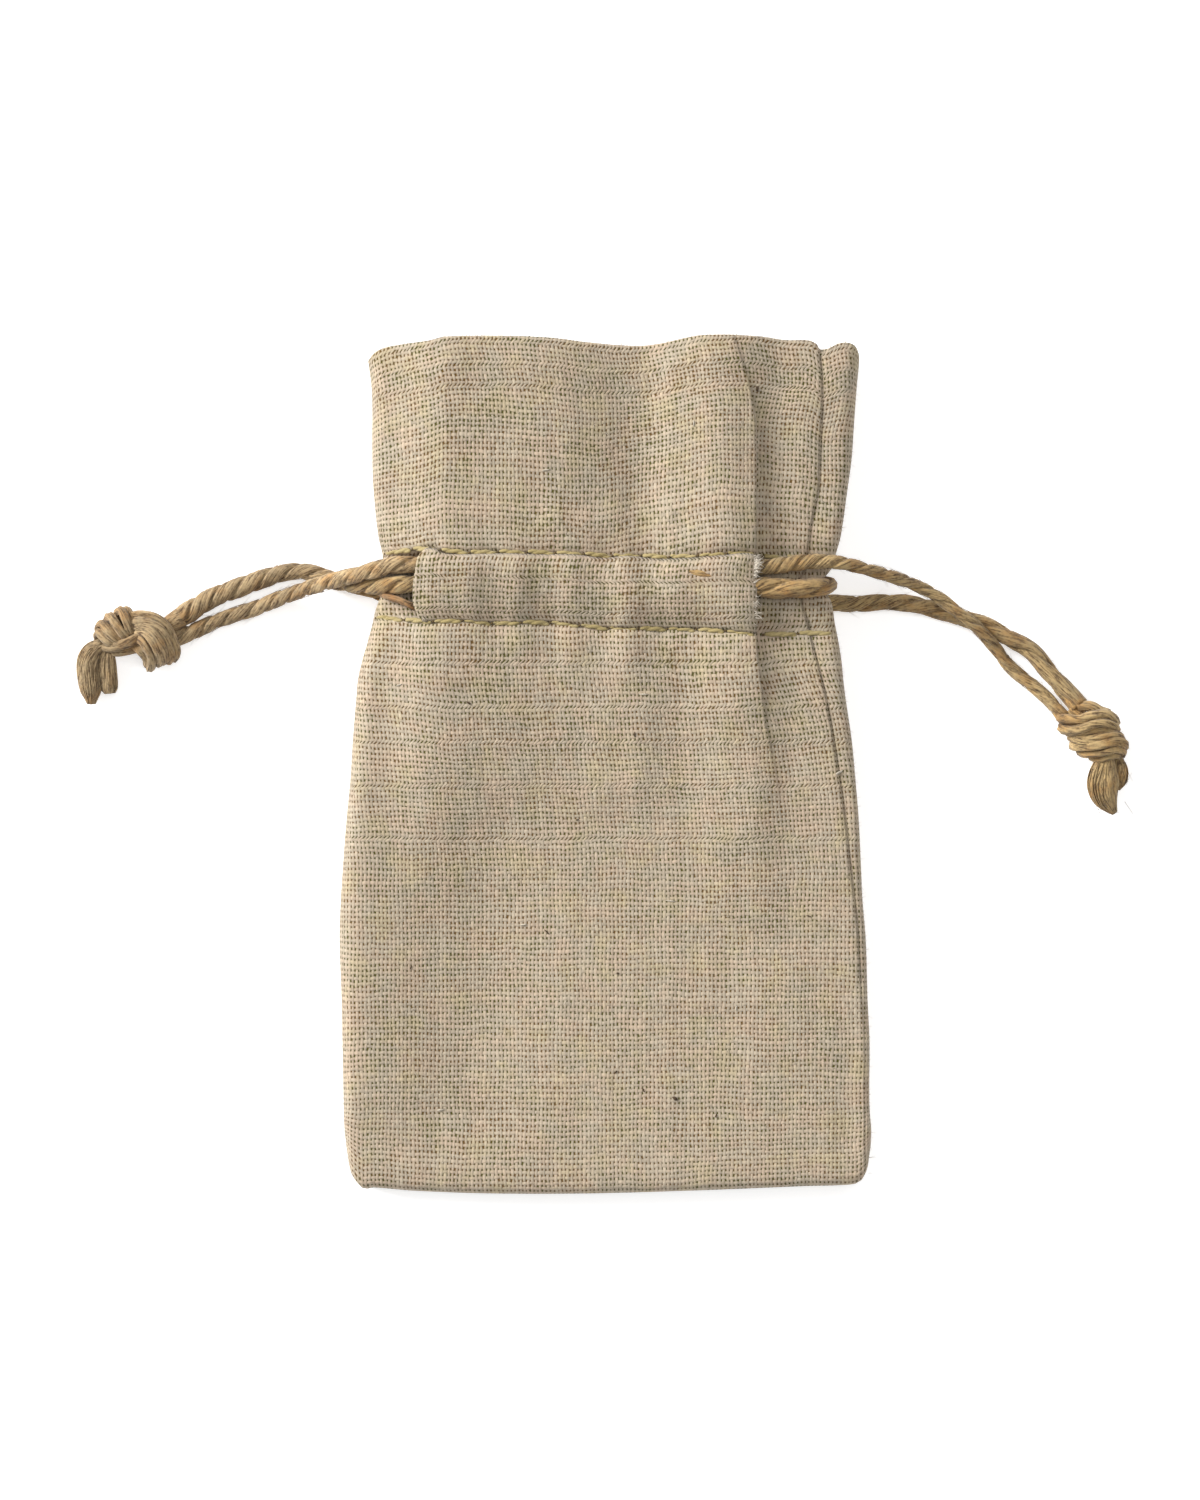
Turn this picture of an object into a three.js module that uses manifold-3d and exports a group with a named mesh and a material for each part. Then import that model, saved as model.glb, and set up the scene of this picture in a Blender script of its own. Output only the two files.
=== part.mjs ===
// A small drawstring bag of open plain-weave linen, lying flat on its back, seen with its front up.
// Two jute cords run round the neck in a stitched channel. Each leaves the channel at one side and
// ends in a knot with two short tails, lying on the same surface as the bag.
// Millimetres, +Z up. X runs to the right, Y towards the mouth. The origin is on the surface, under
// the middle of the bag's cloth.

import * as THREE from 'three';
import { mergeVertices } from 'three/addons/utils/BufferGeometryUtils.js';
import Module from 'manifold-3d';

const wasm = await Module();
wasm.setup();

// Driving dimensions of the cloth

const CLOTH = 1.0; // one layer of cloth, with its soft air
const HEM = 1.6; // the doubled cloth above the channel
const ROLL_LEFT = -28.4; // the front is level between these two lines, and rolls over outside them
const ROLL_RIGHT = 26.5;
const SHOULDER = 5.0; // how square the front's roll is: 2 is a quarter ellipse
const BACK_ROLL = 4.0; // how far in from the side the back reaches the surface
const SIDE_WALL = 1.4; // the side folds are thicker than one layer by this factor
const HEM_FROM = 30.0; // where the cloth starts to be doubled, along Y
const HEM_REACH = 6.0; // over this length

// The bag's outline and thickness, from the bottom fold to the mouth
// y: height on the bag, left and right: its sides, edge: height of the side edge above the surface,
// front and back: height of the two faces between the folds

const LEVELS = [
  { y: -64.8, left: -38.0, right: 38.6, edge: 1.1, front: 1.8, back: 0.3 },
  { y: -63.6, left: -38.9, right: 39.4, edge: 1.3, front: 4.2, back: 0.0 },
  { y: -61.6, left: -39.3, right: 39.9, edge: 1.6, front: 5.8, back: 0.0 },
  { y: -57.0, left: -39.7, right: 40.2, edge: 2.0, front: 7.2, back: 0.0 },
  { y: -50.0, left: -39.8, right: 40.0, edge: 2.3, front: 8.0, back: 0.0 },
  { y: -38.0, left: -40.1, right: 39.6, edge: 2.5, front: 8.7, back: 0.0 },
  { y: -26.0, left: -40.4, right: 39.1, edge: 2.6, front: 9.2, back: 0.0 },
  { y: -14.0, left: -39.8, right: 38.4, edge: 2.8, front: 9.8, back: 0.0 },
  { y: -4.0, left: -38.9, right: 37.8, edge: 3.1, front: 10.5, back: 0.0 },
  { y: 5.0, left: -38.2, right: 36.8, edge: 3.6, front: 11.2, back: 0.0 },
  { y: 12.0, left: -37.6, right: 35.8, edge: 4.6, front: 11.8, back: 0.3 },
  { y: 17.0, left: -36.5, right: 35.2, edge: 6.0, front: 12.2, back: 1.3 },
  { y: 20.8, left: -35.7, right: 34.5, edge: 7.2, front: 12.0, back: 2.3 },
  { y: 27.0, left: -34.4, right: 34.3, edge: 7.3, front: 12.0, back: 2.3 },
  { y: 32.3, left: -34.3, right: 35.0, edge: 7.2, front: 12.0, back: 2.3 },
  { y: 36.0, left: -34.8, right: 35.6, edge: 6.2, front: 12.1, back: 1.2 },
  { y: 41.0, left: -35.3, right: 36.2, edge: 5.2, front: 12.2, back: 0.2 },
  { y: 48.0, left: -35.6, right: 37.2, edge: 4.7, front: 12.0, back: 0.0 },
  { y: 56.0, left: -35.8, right: 37.8, edge: 4.4, front: 11.6, back: 0.0 },
  { y: 61.0, left: -36.0, right: 38.3, edge: 4.2, front: 11.1, back: 0.0 },
  { y: 64.8, left: -36.0, right: 38.2, edge: 4.0, front: 10.5, back: 0.0 },
];

// Rows of points from the bottom fold to the mouth

const ROWS = [
  -64.8, -64.2, -63.2, -61.6, -59.0, -55.0, -50.0, -45.0, -40.0, -35.0, -30.0, -25.0, -20.0, -15.0,
  -10.0, -5.5, -1.0, 3.0, 7.0, 10.5, 13.5, 16.0, 18.2, 20.0, 20.8, 21.6, 22.6, 24.0, 26.8, 29.6,
  31.0, 31.6, 32.4, 33.6, 35.6, 38.6, 42.0, 46.0, 50.0, 54.0, 58.0, 61.5, 64.8,
];
const BOTTOM_Y = ROWS[0];
const MOUTH_Y = ROWS[ROWS.length - 1];
const INSIDE_FROM = -62.0; // the inside starts over the bottom fold
const PAST_MOUTH = 6.0; // and is cut out past the mouth by this much

// The bottom fold and the two lips of the mouth, as waves in Y along X

const BOTTOM_EDGE = [
  { x: -38.6, y: -62.6 },
  { x: -36.4, y: -64.0 },
  { x: -29.2, y: -64.4 },
  { x: -18.0, y: -64.9 },
  { x: -2.0, y: -64.8 },
  { x: 15.0, y: -64.1 },
  { x: 30.0, y: -63.5 },
  { x: 38.0, y: -63.3 },
  { x: 39.8, y: -61.8 },
];

const FRONT_LIP = [
  { x: -36.0, y: 61.9 },
  { x: -33.2, y: 63.2 },
  { x: -28.0, y: 64.0 },
  { x: -21.0, y: 64.7 },
  { x: -8.0, y: 64.6 },
  { x: 1.0, y: 63.6 },
  { x: 6.0, y: 63.6 },
  { x: 13.0, y: 64.8 },
  { x: 23.0, y: 64.8 },
  { x: 30.0, y: 64.3 },
  { x: 32.6, y: 63.2 },
  { x: 35.6, y: 63.9 },
  { x: 38.2, y: 62.8 },
];

const BACK_LIP = [
  { x: -36.0, y: 61.9 },
  { x: -30.0, y: 62.8 },
  { x: 0.0, y: 63.0 },
  { x: 30.0, y: 63.4 },
  { x: 38.2, y: 62.8 },
];

const BOTTOM_REACH = 14; // how far up the bag the bottom wave fades out
const LIP_REACH = 26; // how far down the bag the mouth's waves fade out

// Folds of the front, as soft ridges (height above 0) and grooves (below 0) that run along Y
// x: crest line, low and high: their ends, left and right: how far their flanks reach

const FOLD_FADE = 7.0; // length over which a fold rises from its ends
const FOLD_SPREAD = 2.5; // the inside follows the lowest of the front within this distance
const FOLDS = [
  { x: -24.2, low: 36, high: 80, height: 1.0, left: 8, right: 14 },
  { x: -1.8, low: 38, high: 62, height: -1.1, left: 9, right: 7 },
  { x: 16.5, low: 34, high: 80, height: 1.0, left: 10, right: 6 },
  { x: -26.9, low: 20, high: 34, height: 0.5, left: 2.5, right: 2.5 },
  { x: -18.4, low: 14, high: 36, height: -0.5, left: 4, right: 4 },
  { x: -14.8, low: 18, high: 36, height: 0.4, left: 3, right: 3 },
  { x: -10.8, low: 18, high: 36, height: -0.5, left: 3, right: 3 },
  { x: -6.6, low: 18, high: 34, height: 0.4, left: 3.5, right: 3.5 },
  { x: -2.5, low: 4, high: 36, height: -0.5, left: 3.5, right: 3.5 },
  { x: 1.6, low: 2, high: 34, height: 0.5, left: 3.5, right: 3.5 },
  { x: 6.2, low: 4, high: 36, height: -0.5, left: 3.5, right: 3.5 },
  { x: -28.6, low: 2, high: 21, height: 1.1, left: 6, right: 4 },
  { x: -18.6, low: -6, high: 20, height: -0.8, left: 5, right: 6 },
  { x: -6.3, low: -2, high: 20, height: 0.6, left: 5, right: 3 },
  { x: 19.0, low: -8, high: 22, height: 1.1, left: 9, right: 5 },
  { x: 25.2, low: -10, high: 18, height: -0.9, left: 4, right: 6 },
];

// The main pleat: right of this line the front lies lower, as a recess that runs to the side seam

const PLEAT = { x: 22.8, width: 1.4, depth: 1.5, low: 2, high: 90, fade: 16 };

// The channel for the cords, between its two rows of stitches
// The front layer is open at both ends, where the inner layer and the cords show

const CHANNEL = {
  middle: 26.7, // middle between the stitch rows, along Y
  halfWidth: 5.7, // half the distance between the stitch rows
  puff: 3.4, // how far the filled channel stands over its stitch rows
  low: 22.6, // the slot for the cords, along Y
  high: 31.6,
  frontLeft: -28.4, // where the front layer ends
  frontRight: 22.8,
  backLeft: -26.5, // where the back layer ends
  backRight: 26.5,
  coverLow: 20, // the layers over the slot are kept between these two lines, along Y
  coverHigh: 34,
};
const GAP_LEFT = { low: 22.6, high: 31.6 };
const GAP_RIGHT = { low: 21.6, high: 32.4 };

// One cord passes over the other inside the channel, which stands higher there

const HUMP = { x: 16, level: 4, slope: 9, height: 2.7 };

// The inner layers of the neck, which the cords run round

const NECK = { left: -33.7, right: 32.0, back: 3.9, front: 10.7 };
const NECK_LOW = 21.4; // the neck's level stretch, along Y
const NECK_HIGH = 32.8;
const NECK_SLOPE = 1.1; // how fast the inside widens away from it
const NECK_TURNS = 8; // straight stretches round each side of the neck

// The cords

const CORD = 2.2; // diameter
const CORD_SIDES = 8;
const CORD_STEP = 2.9; // length of one straight stretch of the tube

// The route of each cord from its knot, through the front of the channel, round the far side of the
// neck, back through the rear of the channel, and out to the knot again

const ROUTE_LEFT = [
  [-68.0, 18.6, 2.8], [-64.6, 19.5, 2.0], [-59.6, 21.8, 1.25], [-56.4, 22.9, 1.2], [-53.4, 23.8, 1.3],
  [-50.4, 25.0, 1.9], [-46.4, 26.4, 3.7], [-42.6, 27.5, 6.2], [-39.9, 28.1, 8.3],
  [-36.0, 28.9, 10.8], [-32.5, 29.8, 12.0], [-29.0, 30.0, 12.1], [-20.0, 30.1, 12.1],
  [-8.0, 30.0, 12.1], [3.0, 29.8, 12.1], [7.0, 29.6, 12.6], [10.0, 29.2, 13.8],
  [13.0, 28.7, 14.6], [16.0, 28.1, 14.7], [19.0, 27.4, 14.5], [22.0, 26.8, 13.4],
  [25.0, 26.5, 12.4], [28.6, 26.4, 12.3], [32.2, 26.7, 10.9], [33.7, 27.2, 7.3],
  [32.2, 27.7, 3.7], [28.6, 28.0, 2.45], [20.0, 28.2, 2.45], [0.0, 28.5, 2.45],
  [-20.0, 28.7, 2.45], [-29.0, 28.7, 2.4], [-34.0, 28.4, 1.8], [-37.5, 27.8, 1.3],
  [-40.6, 27.8, 1.2], [-43.7, 28.9, 1.2], [-46.4, 29.5, 1.2], [-50.4, 28.9, 1.2],
  [-53.4, 27.9, 1.2], [-56.4, 26.8, 1.2], [-59.6, 25.6, 1.25], [-63.2, 23.4, 1.9],
  [-66.0, 21.5, 2.6],
];

const ROUTE_RIGHT = [
  [69.4, 7.3, 2.3], [67.2, 9.9, 1.6], [64.8, 12.1, 1.25], [61.4, 15.0, 1.3], [58.9, 18.0, 2.0],
  [56.3, 20.8, 3.2], [53.4, 23.0, 3.9], [50.4, 25.3, 4.2], [46.9, 27.1, 5.4],
  [42.6, 28.5, 7.8], [38.6, 29.5, 10.2], [35.0, 30.3, 11.7], [31.5, 30.5, 12.1],
  [27.5, 30.1, 12.1], [24.0, 29.6, 12.1], [20.0, 28.9, 12.1], [16.0, 28.1, 12.1],
  [12.0, 27.2, 12.1], [7.0, 26.9, 12.1], [0.0, 27.0, 12.1], [-12.0, 27.2, 12.1],
  [-24.0, 27.4, 12.1], [-30.3, 27.2, 12.3], [-33.9, 26.9, 10.9], [-35.5, 26.2, 7.3],
  [-33.9, 25.4, 3.7], [-30.3, 25.0, 2.45], [-20.0, 24.9, 2.45], [0.0, 24.8, 2.45],
  [20.0, 24.8, 2.45], [29.0, 24.8, 2.35], [34.2, 24.7, 1.7], [38.4, 24.5, 1.25],
  [42.6, 24.8, 1.2], [46.9, 24.4, 1.2], [51.1, 23.3, 1.2], [54.2, 22.3, 1.2],
  [57.6, 21.2, 1.2], [61.4, 19.2, 1.2], [64.8, 17.1, 1.2], [67.3, 14.2, 1.25],
  [69.6, 11.5, 1.7],
  [71.8, 8.9, 2.5],
];

// Each knot as its main turns, lying across one another, and the two cut tails of the cord
// length, width and height: sizes of a turn, lean: its direction in degrees from X, round Z

const KNOT_LEFT = {
  turns: [
    { x: -74.9, y: 20.1, z: 2.1, length: 8.2, width: 4.2, height: 4.6, lean: 75 },
    { x: -72.4, y: 19.8, z: 2.5, length: 7.4, width: 4.0, height: 5.2, lean: 60 },
    { x: -69.6, y: 18.7, z: 2.8, length: 9.4, width: 4.6, height: 5.8, lean: 55 },
    { x: -67.2, y: 19.2, z: 2.2, length: 8.4, width: 4.2, height: 4.8, lean: 60 },
  ],
  tails: [
    { width: 3.2, points: [[-75.6, 18.2, 2.0], [-79.3, 16.4, 1.8], [-79.9, 13.4, 1.7], [-79.0, 9.3, 1.7]] },
    { width: 2.5, points: [[-74.4, 18.4, 1.9], [-75.0, 15.4, 1.5], [-75.3, 11.0, 1.4]] },
  ],
};

const KNOT_RIGHT = {
  turns: [
    { x: 70.6, y: 6.2, z: 2.1, length: 6.4, width: 4.0, height: 4.6, lean: 80 },
    { x: 74.4, y: 6.9, z: 2.7, length: 9.4, width: 4.4, height: 5.8, lean: -28 },
    { x: 74.6, y: 3.2, z: 2.5, length: 9.6, width: 4.0, height: 5.4, lean: 8 },
  ],
  tails: [
    { width: 4.0, points: [[75.4, 3.0, 2.2], [75.2, -0.6, 2.1], [75.2, -3.4, 2.1], [76.9, -6.6, 2.1]] },
    { width: 2.2, points: [[77.0, 3.0, 1.8], [78.4, 0.4, 1.3], [78.6, -2.2, 1.25]] },
  ],
};

const KNOT_GAP = 0.3; // between a cord's tube and its knot
const TURN_SIDES = 12; // round a knot's turn
const TURN_BANDS = 8; // along it
const TAIL_STEPS = 5; // along a tail
const TAIL_CURVE = 4; // a quarter of the way round it
const FLOOR = 0.0; // the surface that everything lies on
const FAR = 60.0; // past every part of the bag
const WELD = 1e-4; // points nearer than this are one

// Small helpers

const smooth = (t) => {
  const k = Math.min(1, Math.max(0, t));
  return k * k * (3 - 2 * k);
};
const mix = (a, b, t) => a + (b - a) * t;

// Reads a column of a table between its rows, along the given key column
function between(table, key, at, column) {
  const last = table.length - 1;
  if (at <= table[0][key]) return table[0][column];
  if (at >= table[last][key]) return table[last][column];
  const i = table.findIndex((row) => row[key] > at);
  const a = table[i - 1];
  const b = table[i];
  return mix(a[column], b[column], smooth((at - a[key]) / (b[key] - a[key])));
}

const level = (y, column) => between(LEVELS, 'y', y, column);

// The same reading in straight lines, for outlines with corners
function outlineAt(table, x) {
  const last = table.length - 1;
  if (x <= table[0].x) return table[0].y;
  if (x >= table[last].x) return table[last].y;
  const i = table.findIndex((row) => row.x > x);
  return mix(table[i - 1].y, table[i].y, (x - table[i - 1].x) / (table[i].x - table[i - 1].x));
}

// Heights of the cloth

function foldHeight(x, y) {
  let sum = 0;
  for (const fold of FOLDS) {
    const reach = x < fold.x ? fold.left : fold.right;
    const across = smooth(1 - Math.abs(x - fold.x) / reach);
    const up = smooth((y - fold.low) / FOLD_FADE);
    const down = smooth((fold.high - y) / FOLD_FADE);
    sum += fold.height * across * up * down;
  }
  return sum;
}

function pleatDrop(x, y) {
  const across = smooth((x - PLEAT.x) / PLEAT.width);
  const up = smooth((y - PLEAT.low) / PLEAT.fade);
  const down = smooth((PLEAT.high - y) / PLEAT.fade);
  return PLEAT.depth * across * up * down;
}

function channelProfile(y) {
  const u = Math.abs(y - CHANNEL.middle) / CHANNEL.halfWidth;
  return u >= 1 ? 0 : Math.sqrt(1 - u ** 4);
}

function humpHeight(x) {
  return HUMP.height * smooth((HUMP.level + HUMP.slope - Math.abs(x - HUMP.x)) / HUMP.slope);
}

function frontHeight(x, y) {
  const puff = (CHANNEL.puff + humpHeight(x)) * channelProfile(y);
  return level(y, 'front') + puff + foldHeight(x, y) - pleatDrop(x, y);
}

function backHeight(x, y) {
  return level(y, 'back') * (1 - channelProfile(y));
}

// One closed ring of the bag at height y, inset from the cloth's outside, as [x, y, z] points
// The front runs left to right, the back right to left; its sides roll over with a square shoulder

const ROLL_ANGLES = [0, 14, 30, 47, 64, 80].map((a) => (a * Math.PI) / 180);
const FRONT_COLUMNS = [
  -28.4, -27, -25, -23, -21, -18.8, -16.8, -14.8, -12.8, -10.8, -8.8, -6.6, -4.5, -2.5, -0.5, 1.6,
  3.8, 6.2, 8.5, 11, 13.5, 16, 18.5, 20.5, 22, 22.8, 24.2, 26.5,
];
const BACK_COLUMNS = [26.5, 16, 5, -5, -16, -26.5];
const FRONT_COUNT = ROLL_ANGLES.length * 2 + FRONT_COLUMNS.length; // points on the front of a ring

function ring(y, frame) {
  const points = [];
  const { left, right, edge, front, back } = frame;
  const leftRoll = ROLL_LEFT - left;
  const rightRoll = right - ROLL_RIGHT;
  const shoulder = (a) => Math.sqrt(1 - Math.cos(a) ** SHOULDER);
  for (const a of ROLL_ANGLES) {
    const x = left + leftRoll * (1 - Math.cos(a));
    points.push([x, mix(edge, front(x), shoulder(a))]);
  }
  for (const x of FRONT_COLUMNS) points.push([x, front(x)]);
  for (const a of [...ROLL_ANGLES].reverse()) {
    const x = right - rightRoll * (1 - Math.cos(a));
    points.push([x, mix(edge, front(x), shoulder(a))]);
  }
  const backRolls = ROLL_ANGLES.slice(1).filter((_, i) => i % 2 === 0);
  for (const a of backRolls) {
    const x = right - BACK_ROLL * (1 - Math.cos(a));
    points.push([x, mix(edge, back(x), Math.sin(a))]);
  }
  for (const x of BACK_COLUMNS) points.push([x, back(x)]);
  for (const a of [...backRolls].reverse()) {
    const x = left + BACK_ROLL * (1 - Math.cos(a));
    points.push([x, mix(edge, back(x), Math.sin(a))]);
  }
  return points.map(([x, z]) => [x, y, z]);
}

// Moves a point of a ring along Y to follow the bottom fold and the lips
function waved([x, y, z], place) {
  const bottom = (outlineAt(BOTTOM_EDGE, x) - BOTTOM_Y) * smooth(1 - (y - BOTTOM_Y) / BOTTOM_REACH);
  const lip = place < FRONT_COUNT ? FRONT_LIP : BACK_LIP;
  const mouth = (outlineAt(lip, x) - MOUTH_Y) * smooth(1 - (MOUTH_Y - y) / LIP_REACH);
  return [x, y + bottom + mouth, z];
}

// Solids from rings of points

// A closed solid through rings of equal length, its two ends capped
function loft(rings) {
  const count = rings[0].length;
  const positions = rings.flat(2);
  const index = [];
  for (let r = 0; r < rings.length - 1; r += 1) {
    for (let i = 0; i < count; i += 1) {
      const j = (i + 1) % count;
      const a = r * count + i;
      const b = r * count + j;
      index.push(a, b, b + count, a, b + count, a + count);
    }
  }
  // An end cap is a strip between the ring's front and its back
  const capOf = (points) => {
    const faces = [];
    let front = 0;
    let back = count - 1;
    while (back - front > 1) {
      if (points[front + 1][0] < points[back - 1][0]) {
        faces.push([front, back, front + 1]);
        front += 1;
      } else {
        faces.push([front, back, back - 1]);
        back -= 1;
      }
    }
    return faces;
  };
  const top = (rings.length - 1) * count;
  for (const [a, b, c] of capOf(rings[0])) index.push(a, b, c);
  for (const [a, b, c] of capOf(rings[rings.length - 1])) index.push(top + a, top + c, top + b);
  const geometry = new THREE.BufferGeometry();
  geometry.setAttribute('position', new THREE.Float32BufferAttribute(positions, 3));
  geometry.setIndex(index);
  return geometry;
}

function solidOf(geometry) {
  const bare = geometry.clone();
  bare.deleteAttribute('normal');
  bare.deleteAttribute('uv');
  const merged = mergeVertices(bare, WELD);
  const triVerts = new Uint32Array(merged.index.array);
  const vertProperties = new Float32Array(merged.attributes.position.array);
  return new wasm.Manifold(new wasm.Mesh({ numProp: 3, vertProperties, triVerts }));
}

function geometryOf(solid) {
  const mesh = solid.getMesh();
  const geometry = new THREE.BufferGeometry();
  geometry.setAttribute('position', new THREE.Float32BufferAttribute(mesh.vertProperties, 3));
  geometry.setIndex([...mesh.triVerts]);
  geometry.computeVertexNormals();
  return geometry;
}

function block(x0, x1, y0, y1, z0, z1) {
  const box = new THREE.BoxGeometry(x1 - x0, y1 - y0, z1 - z0);
  box.translate((x0 + x1) / 2, (y0 + y1) / 2, (z0 + z1) / 2);
  return solidOf(box);
}

// The space between two height fields over a rectangle, as a closed solid
function slabBetween(x0, x1, y0, y1, lower, upper) {
  const xs = [x0, ...FRONT_COLUMNS.filter((x) => x > x0 && x < x1), x1];
  const ys = [y0, ...ROWS.filter((y) => y > y0 && y < y1), y1];
  const rings = ys.map((y) => [
    ...xs.map((x) => [x, y, upper(x, y)]),
    ...[...xs].reverse().map((x) => [x, y, lower(x, y)]),
  ]);
  return solidOf(loft(rings));
}

// The bag's cloth

function clothOutside() {
  const rings = ROWS.map((y) => ring(y, {
    left: level(y, 'left'),
    right: level(y, 'right'),
    edge: level(y, 'edge'),
    front: (x) => frontHeight(x, y),
    back: (x) => backHeight(x, y),
  }).map(waved));
  return solidOf(loft(rings));
}

// The inside, from just over the bottom fold out through the mouth
function clothInside() {
  const rows = ROWS.filter((y, i) => y > INSIDE_FROM && i % 2 === 1);
  const rings = [...rows, MOUTH_Y + PAST_MOUTH].map((y) => {
    const wall = mix(CLOTH, HEM, smooth((y - HEM_FROM) / HEM_REACH));
    const away = Math.max(0, NECK_LOW - y, y - NECK_HIGH) * NECK_SLOPE;
    const roof = NECK.front - CLOTH + away;
    const floor = NECK.back + CLOTH - away;
    const spread = [-FOLD_SPREAD, 0, FOLD_SPREAD];
    const lowest = (x) => Math.min(...spread.map((step) => frontHeight(x + step, y)));
    return ring(y, {
      left: Math.max(level(y, 'left') + wall * SIDE_WALL, NECK.left + CLOTH - away),
      right: Math.min(level(y, 'right') - wall * SIDE_WALL, NECK.right - CLOTH + away),
      edge: level(y, 'edge'),
      front: (x) => Math.min(lowest(x) - wall, roof),
      back: (x) => Math.max(backHeight(x, y) + wall, floor),
    });
  });
  return solidOf(loft(rings));
}

// The inner layers of the neck, solid here, longer than the channel at both ends
function neckCore() {
  const radius = (NECK.front - NECK.back) / 2;
  const middle = (NECK.front + NECK.back) / 2;
  const section = [];
  for (let i = 0; i <= NECK_TURNS; i += 1) {
    const a = Math.PI / 2 - (Math.PI * i) / NECK_TURNS;
    section.push([NECK.right - radius + radius * Math.cos(a), middle + radius * Math.sin(a)]);
  }
  for (let i = 0; i <= NECK_TURNS; i += 1) {
    const a = -Math.PI / 2 - (Math.PI * i) / NECK_TURNS;
    section.push([NECK.left + radius + radius * Math.cos(a), middle + radius * Math.sin(a)]);
  }
  const ends = [CHANNEL.coverLow, CHANNEL.coverHigh];
  return solidOf(loft(ends.map((y) => section.map(([x, z]) => [x, y, z]))));
}

// The space that the cords run in: a slot in the front, one in the back, and a gap at each side
function channelSpace() {
  const { low, high, frontLeft, frontRight, backLeft, backRight, coverLow, coverHigh } = CHANNEL;
  const slot = block(frontLeft, backRight, low, high, -FAR, FAR);
  const leftGap = block(-FAR, backLeft, GAP_LEFT.low, GAP_LEFT.high, -FAR, FAR);
  const rightGap = block(frontRight, FAR, GAP_RIGHT.low, GAP_RIGHT.high, -FAR, FAR);
  const underFront = (x, y) => frontHeight(x, y) - CLOTH;
  const overBack = (x, y) => backHeight(x, y) + CLOTH;
  const frontLayer = slabBetween(frontLeft, frontRight, coverLow, coverHigh, underFront, () => 2 * FAR);
  const backLayer = slabBetween(backLeft, backRight, coverLow, coverHigh, () => -2 * FAR, overBack);
  return slot.add(leftGap).add(rightGap).subtract(neckCore()).subtract(frontLayer).subtract(backLayer);
}

function bagCloth() {
  return geometryOf(clothOutside().subtract(channelSpace()).subtract(clothInside()));
}

function curveThrough(points) {
  return new THREE.CatmullRomCurve3(points.map((p) => new THREE.Vector3(...p)), false, 'centripetal');
}

// A cord's tube along its route
function tube(route, diameter) {
  const curve = curveThrough(route);
  const section = new THREE.Shape();
  for (let i = 0; i < CORD_SIDES; i += 1) {
    const a = (2 * Math.PI * (i + 0.5)) / CORD_SIDES;
    const method = i === 0 ? 'moveTo' : 'lineTo';
    section[method]((diameter / 2) * Math.cos(a), (diameter / 2) * Math.sin(a));
  }
  const steps = Math.round(curve.getLength() / CORD_STEP);
  return new THREE.ExtrudeGeometry(section, { steps, bevelEnabled: false, extrudePath: curve });
}

// The space that a cord's two ends take in its knot, a little wider and longer than the cord
function roomFor(route) {
  const endRoom = ([end, next, ...rest]) => {
    const tip = new THREE.Vector3(...end);
    const out = tip.clone().sub(new THREE.Vector3(...next)).setLength(KNOT_GAP);
    return solidOf(tube([tip.add(out).toArray(), end, next, ...rest], CORD + 2 * KNOT_GAP));
  };
  return endRoom(route.slice(0, 4)).add(endRoom(route.slice(-4).reverse()));
}

// A knot: its turns as flattened balls and its tails as short tubes, in one solid with a flat underside
function knot({ turns, tails }, cord) {
  let solid = null;
  const join = (geometry) => {
    const piece = solidOf(geometry);
    solid = solid ? solid.add(piece) : piece;
  };
  for (const { x, y, z, length, width, height, lean } of turns) {
    const ball = new THREE.SphereGeometry(0.5, TURN_SIDES, TURN_BANDS);
    ball.rotateX(Math.PI / 2);
    ball.scale(length, width, height);
    ball.rotateZ((lean * Math.PI) / 180);
    ball.translate(x, y, z);
    join(ball);
  }
  for (const { width, points } of tails) {
    const section = new THREE.Shape();
    section.absellipse(0, 0, width / 2, width / 2, 0, 2 * Math.PI);
    join(new THREE.ExtrudeGeometry(section, {
      steps: TAIL_STEPS,
      curveSegments: TAIL_CURVE,
      bevelEnabled: false,
      extrudePath: curveThrough(points),
    }));
  }
  const under = block(-2 * FAR, 2 * FAR, -2 * FAR, 2 * FAR, FLOOR - FAR, FLOOR);
  return geometryOf(solid.subtract(roomFor(cord)).subtract(under));
}

// Materials

const linen = new THREE.MeshStandardMaterial({ color: '#b5aa94', roughness: 0.95, metalness: 0 });
const jute = new THREE.MeshStandardMaterial({ color: '#a18660', roughness: 0.9, metalness: 0 });

// The whole object

const bag = new THREE.Group();

function place(name, geometry, material) {
  const mesh = new THREE.Mesh(geometry, material.clone());
  mesh.name = name;
  bag.add(mesh);
}

place('bag_cloth', bagCloth(), linen);
place('cord_left', tube(ROUTE_LEFT, CORD), jute);
place('cord_right', tube(ROUTE_RIGHT, CORD), jute);
place('knot_left', knot(KNOT_LEFT, ROUTE_LEFT), jute);
place('knot_right', knot(KNOT_RIGHT, ROUTE_RIGHT), jute);

export default bag;
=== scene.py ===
"""Dresses a small linen drawstring bag: woven cloth, stitched channel, twisted jute cords and knots."""

import math
import random

import bpy
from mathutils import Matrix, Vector, noise


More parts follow.
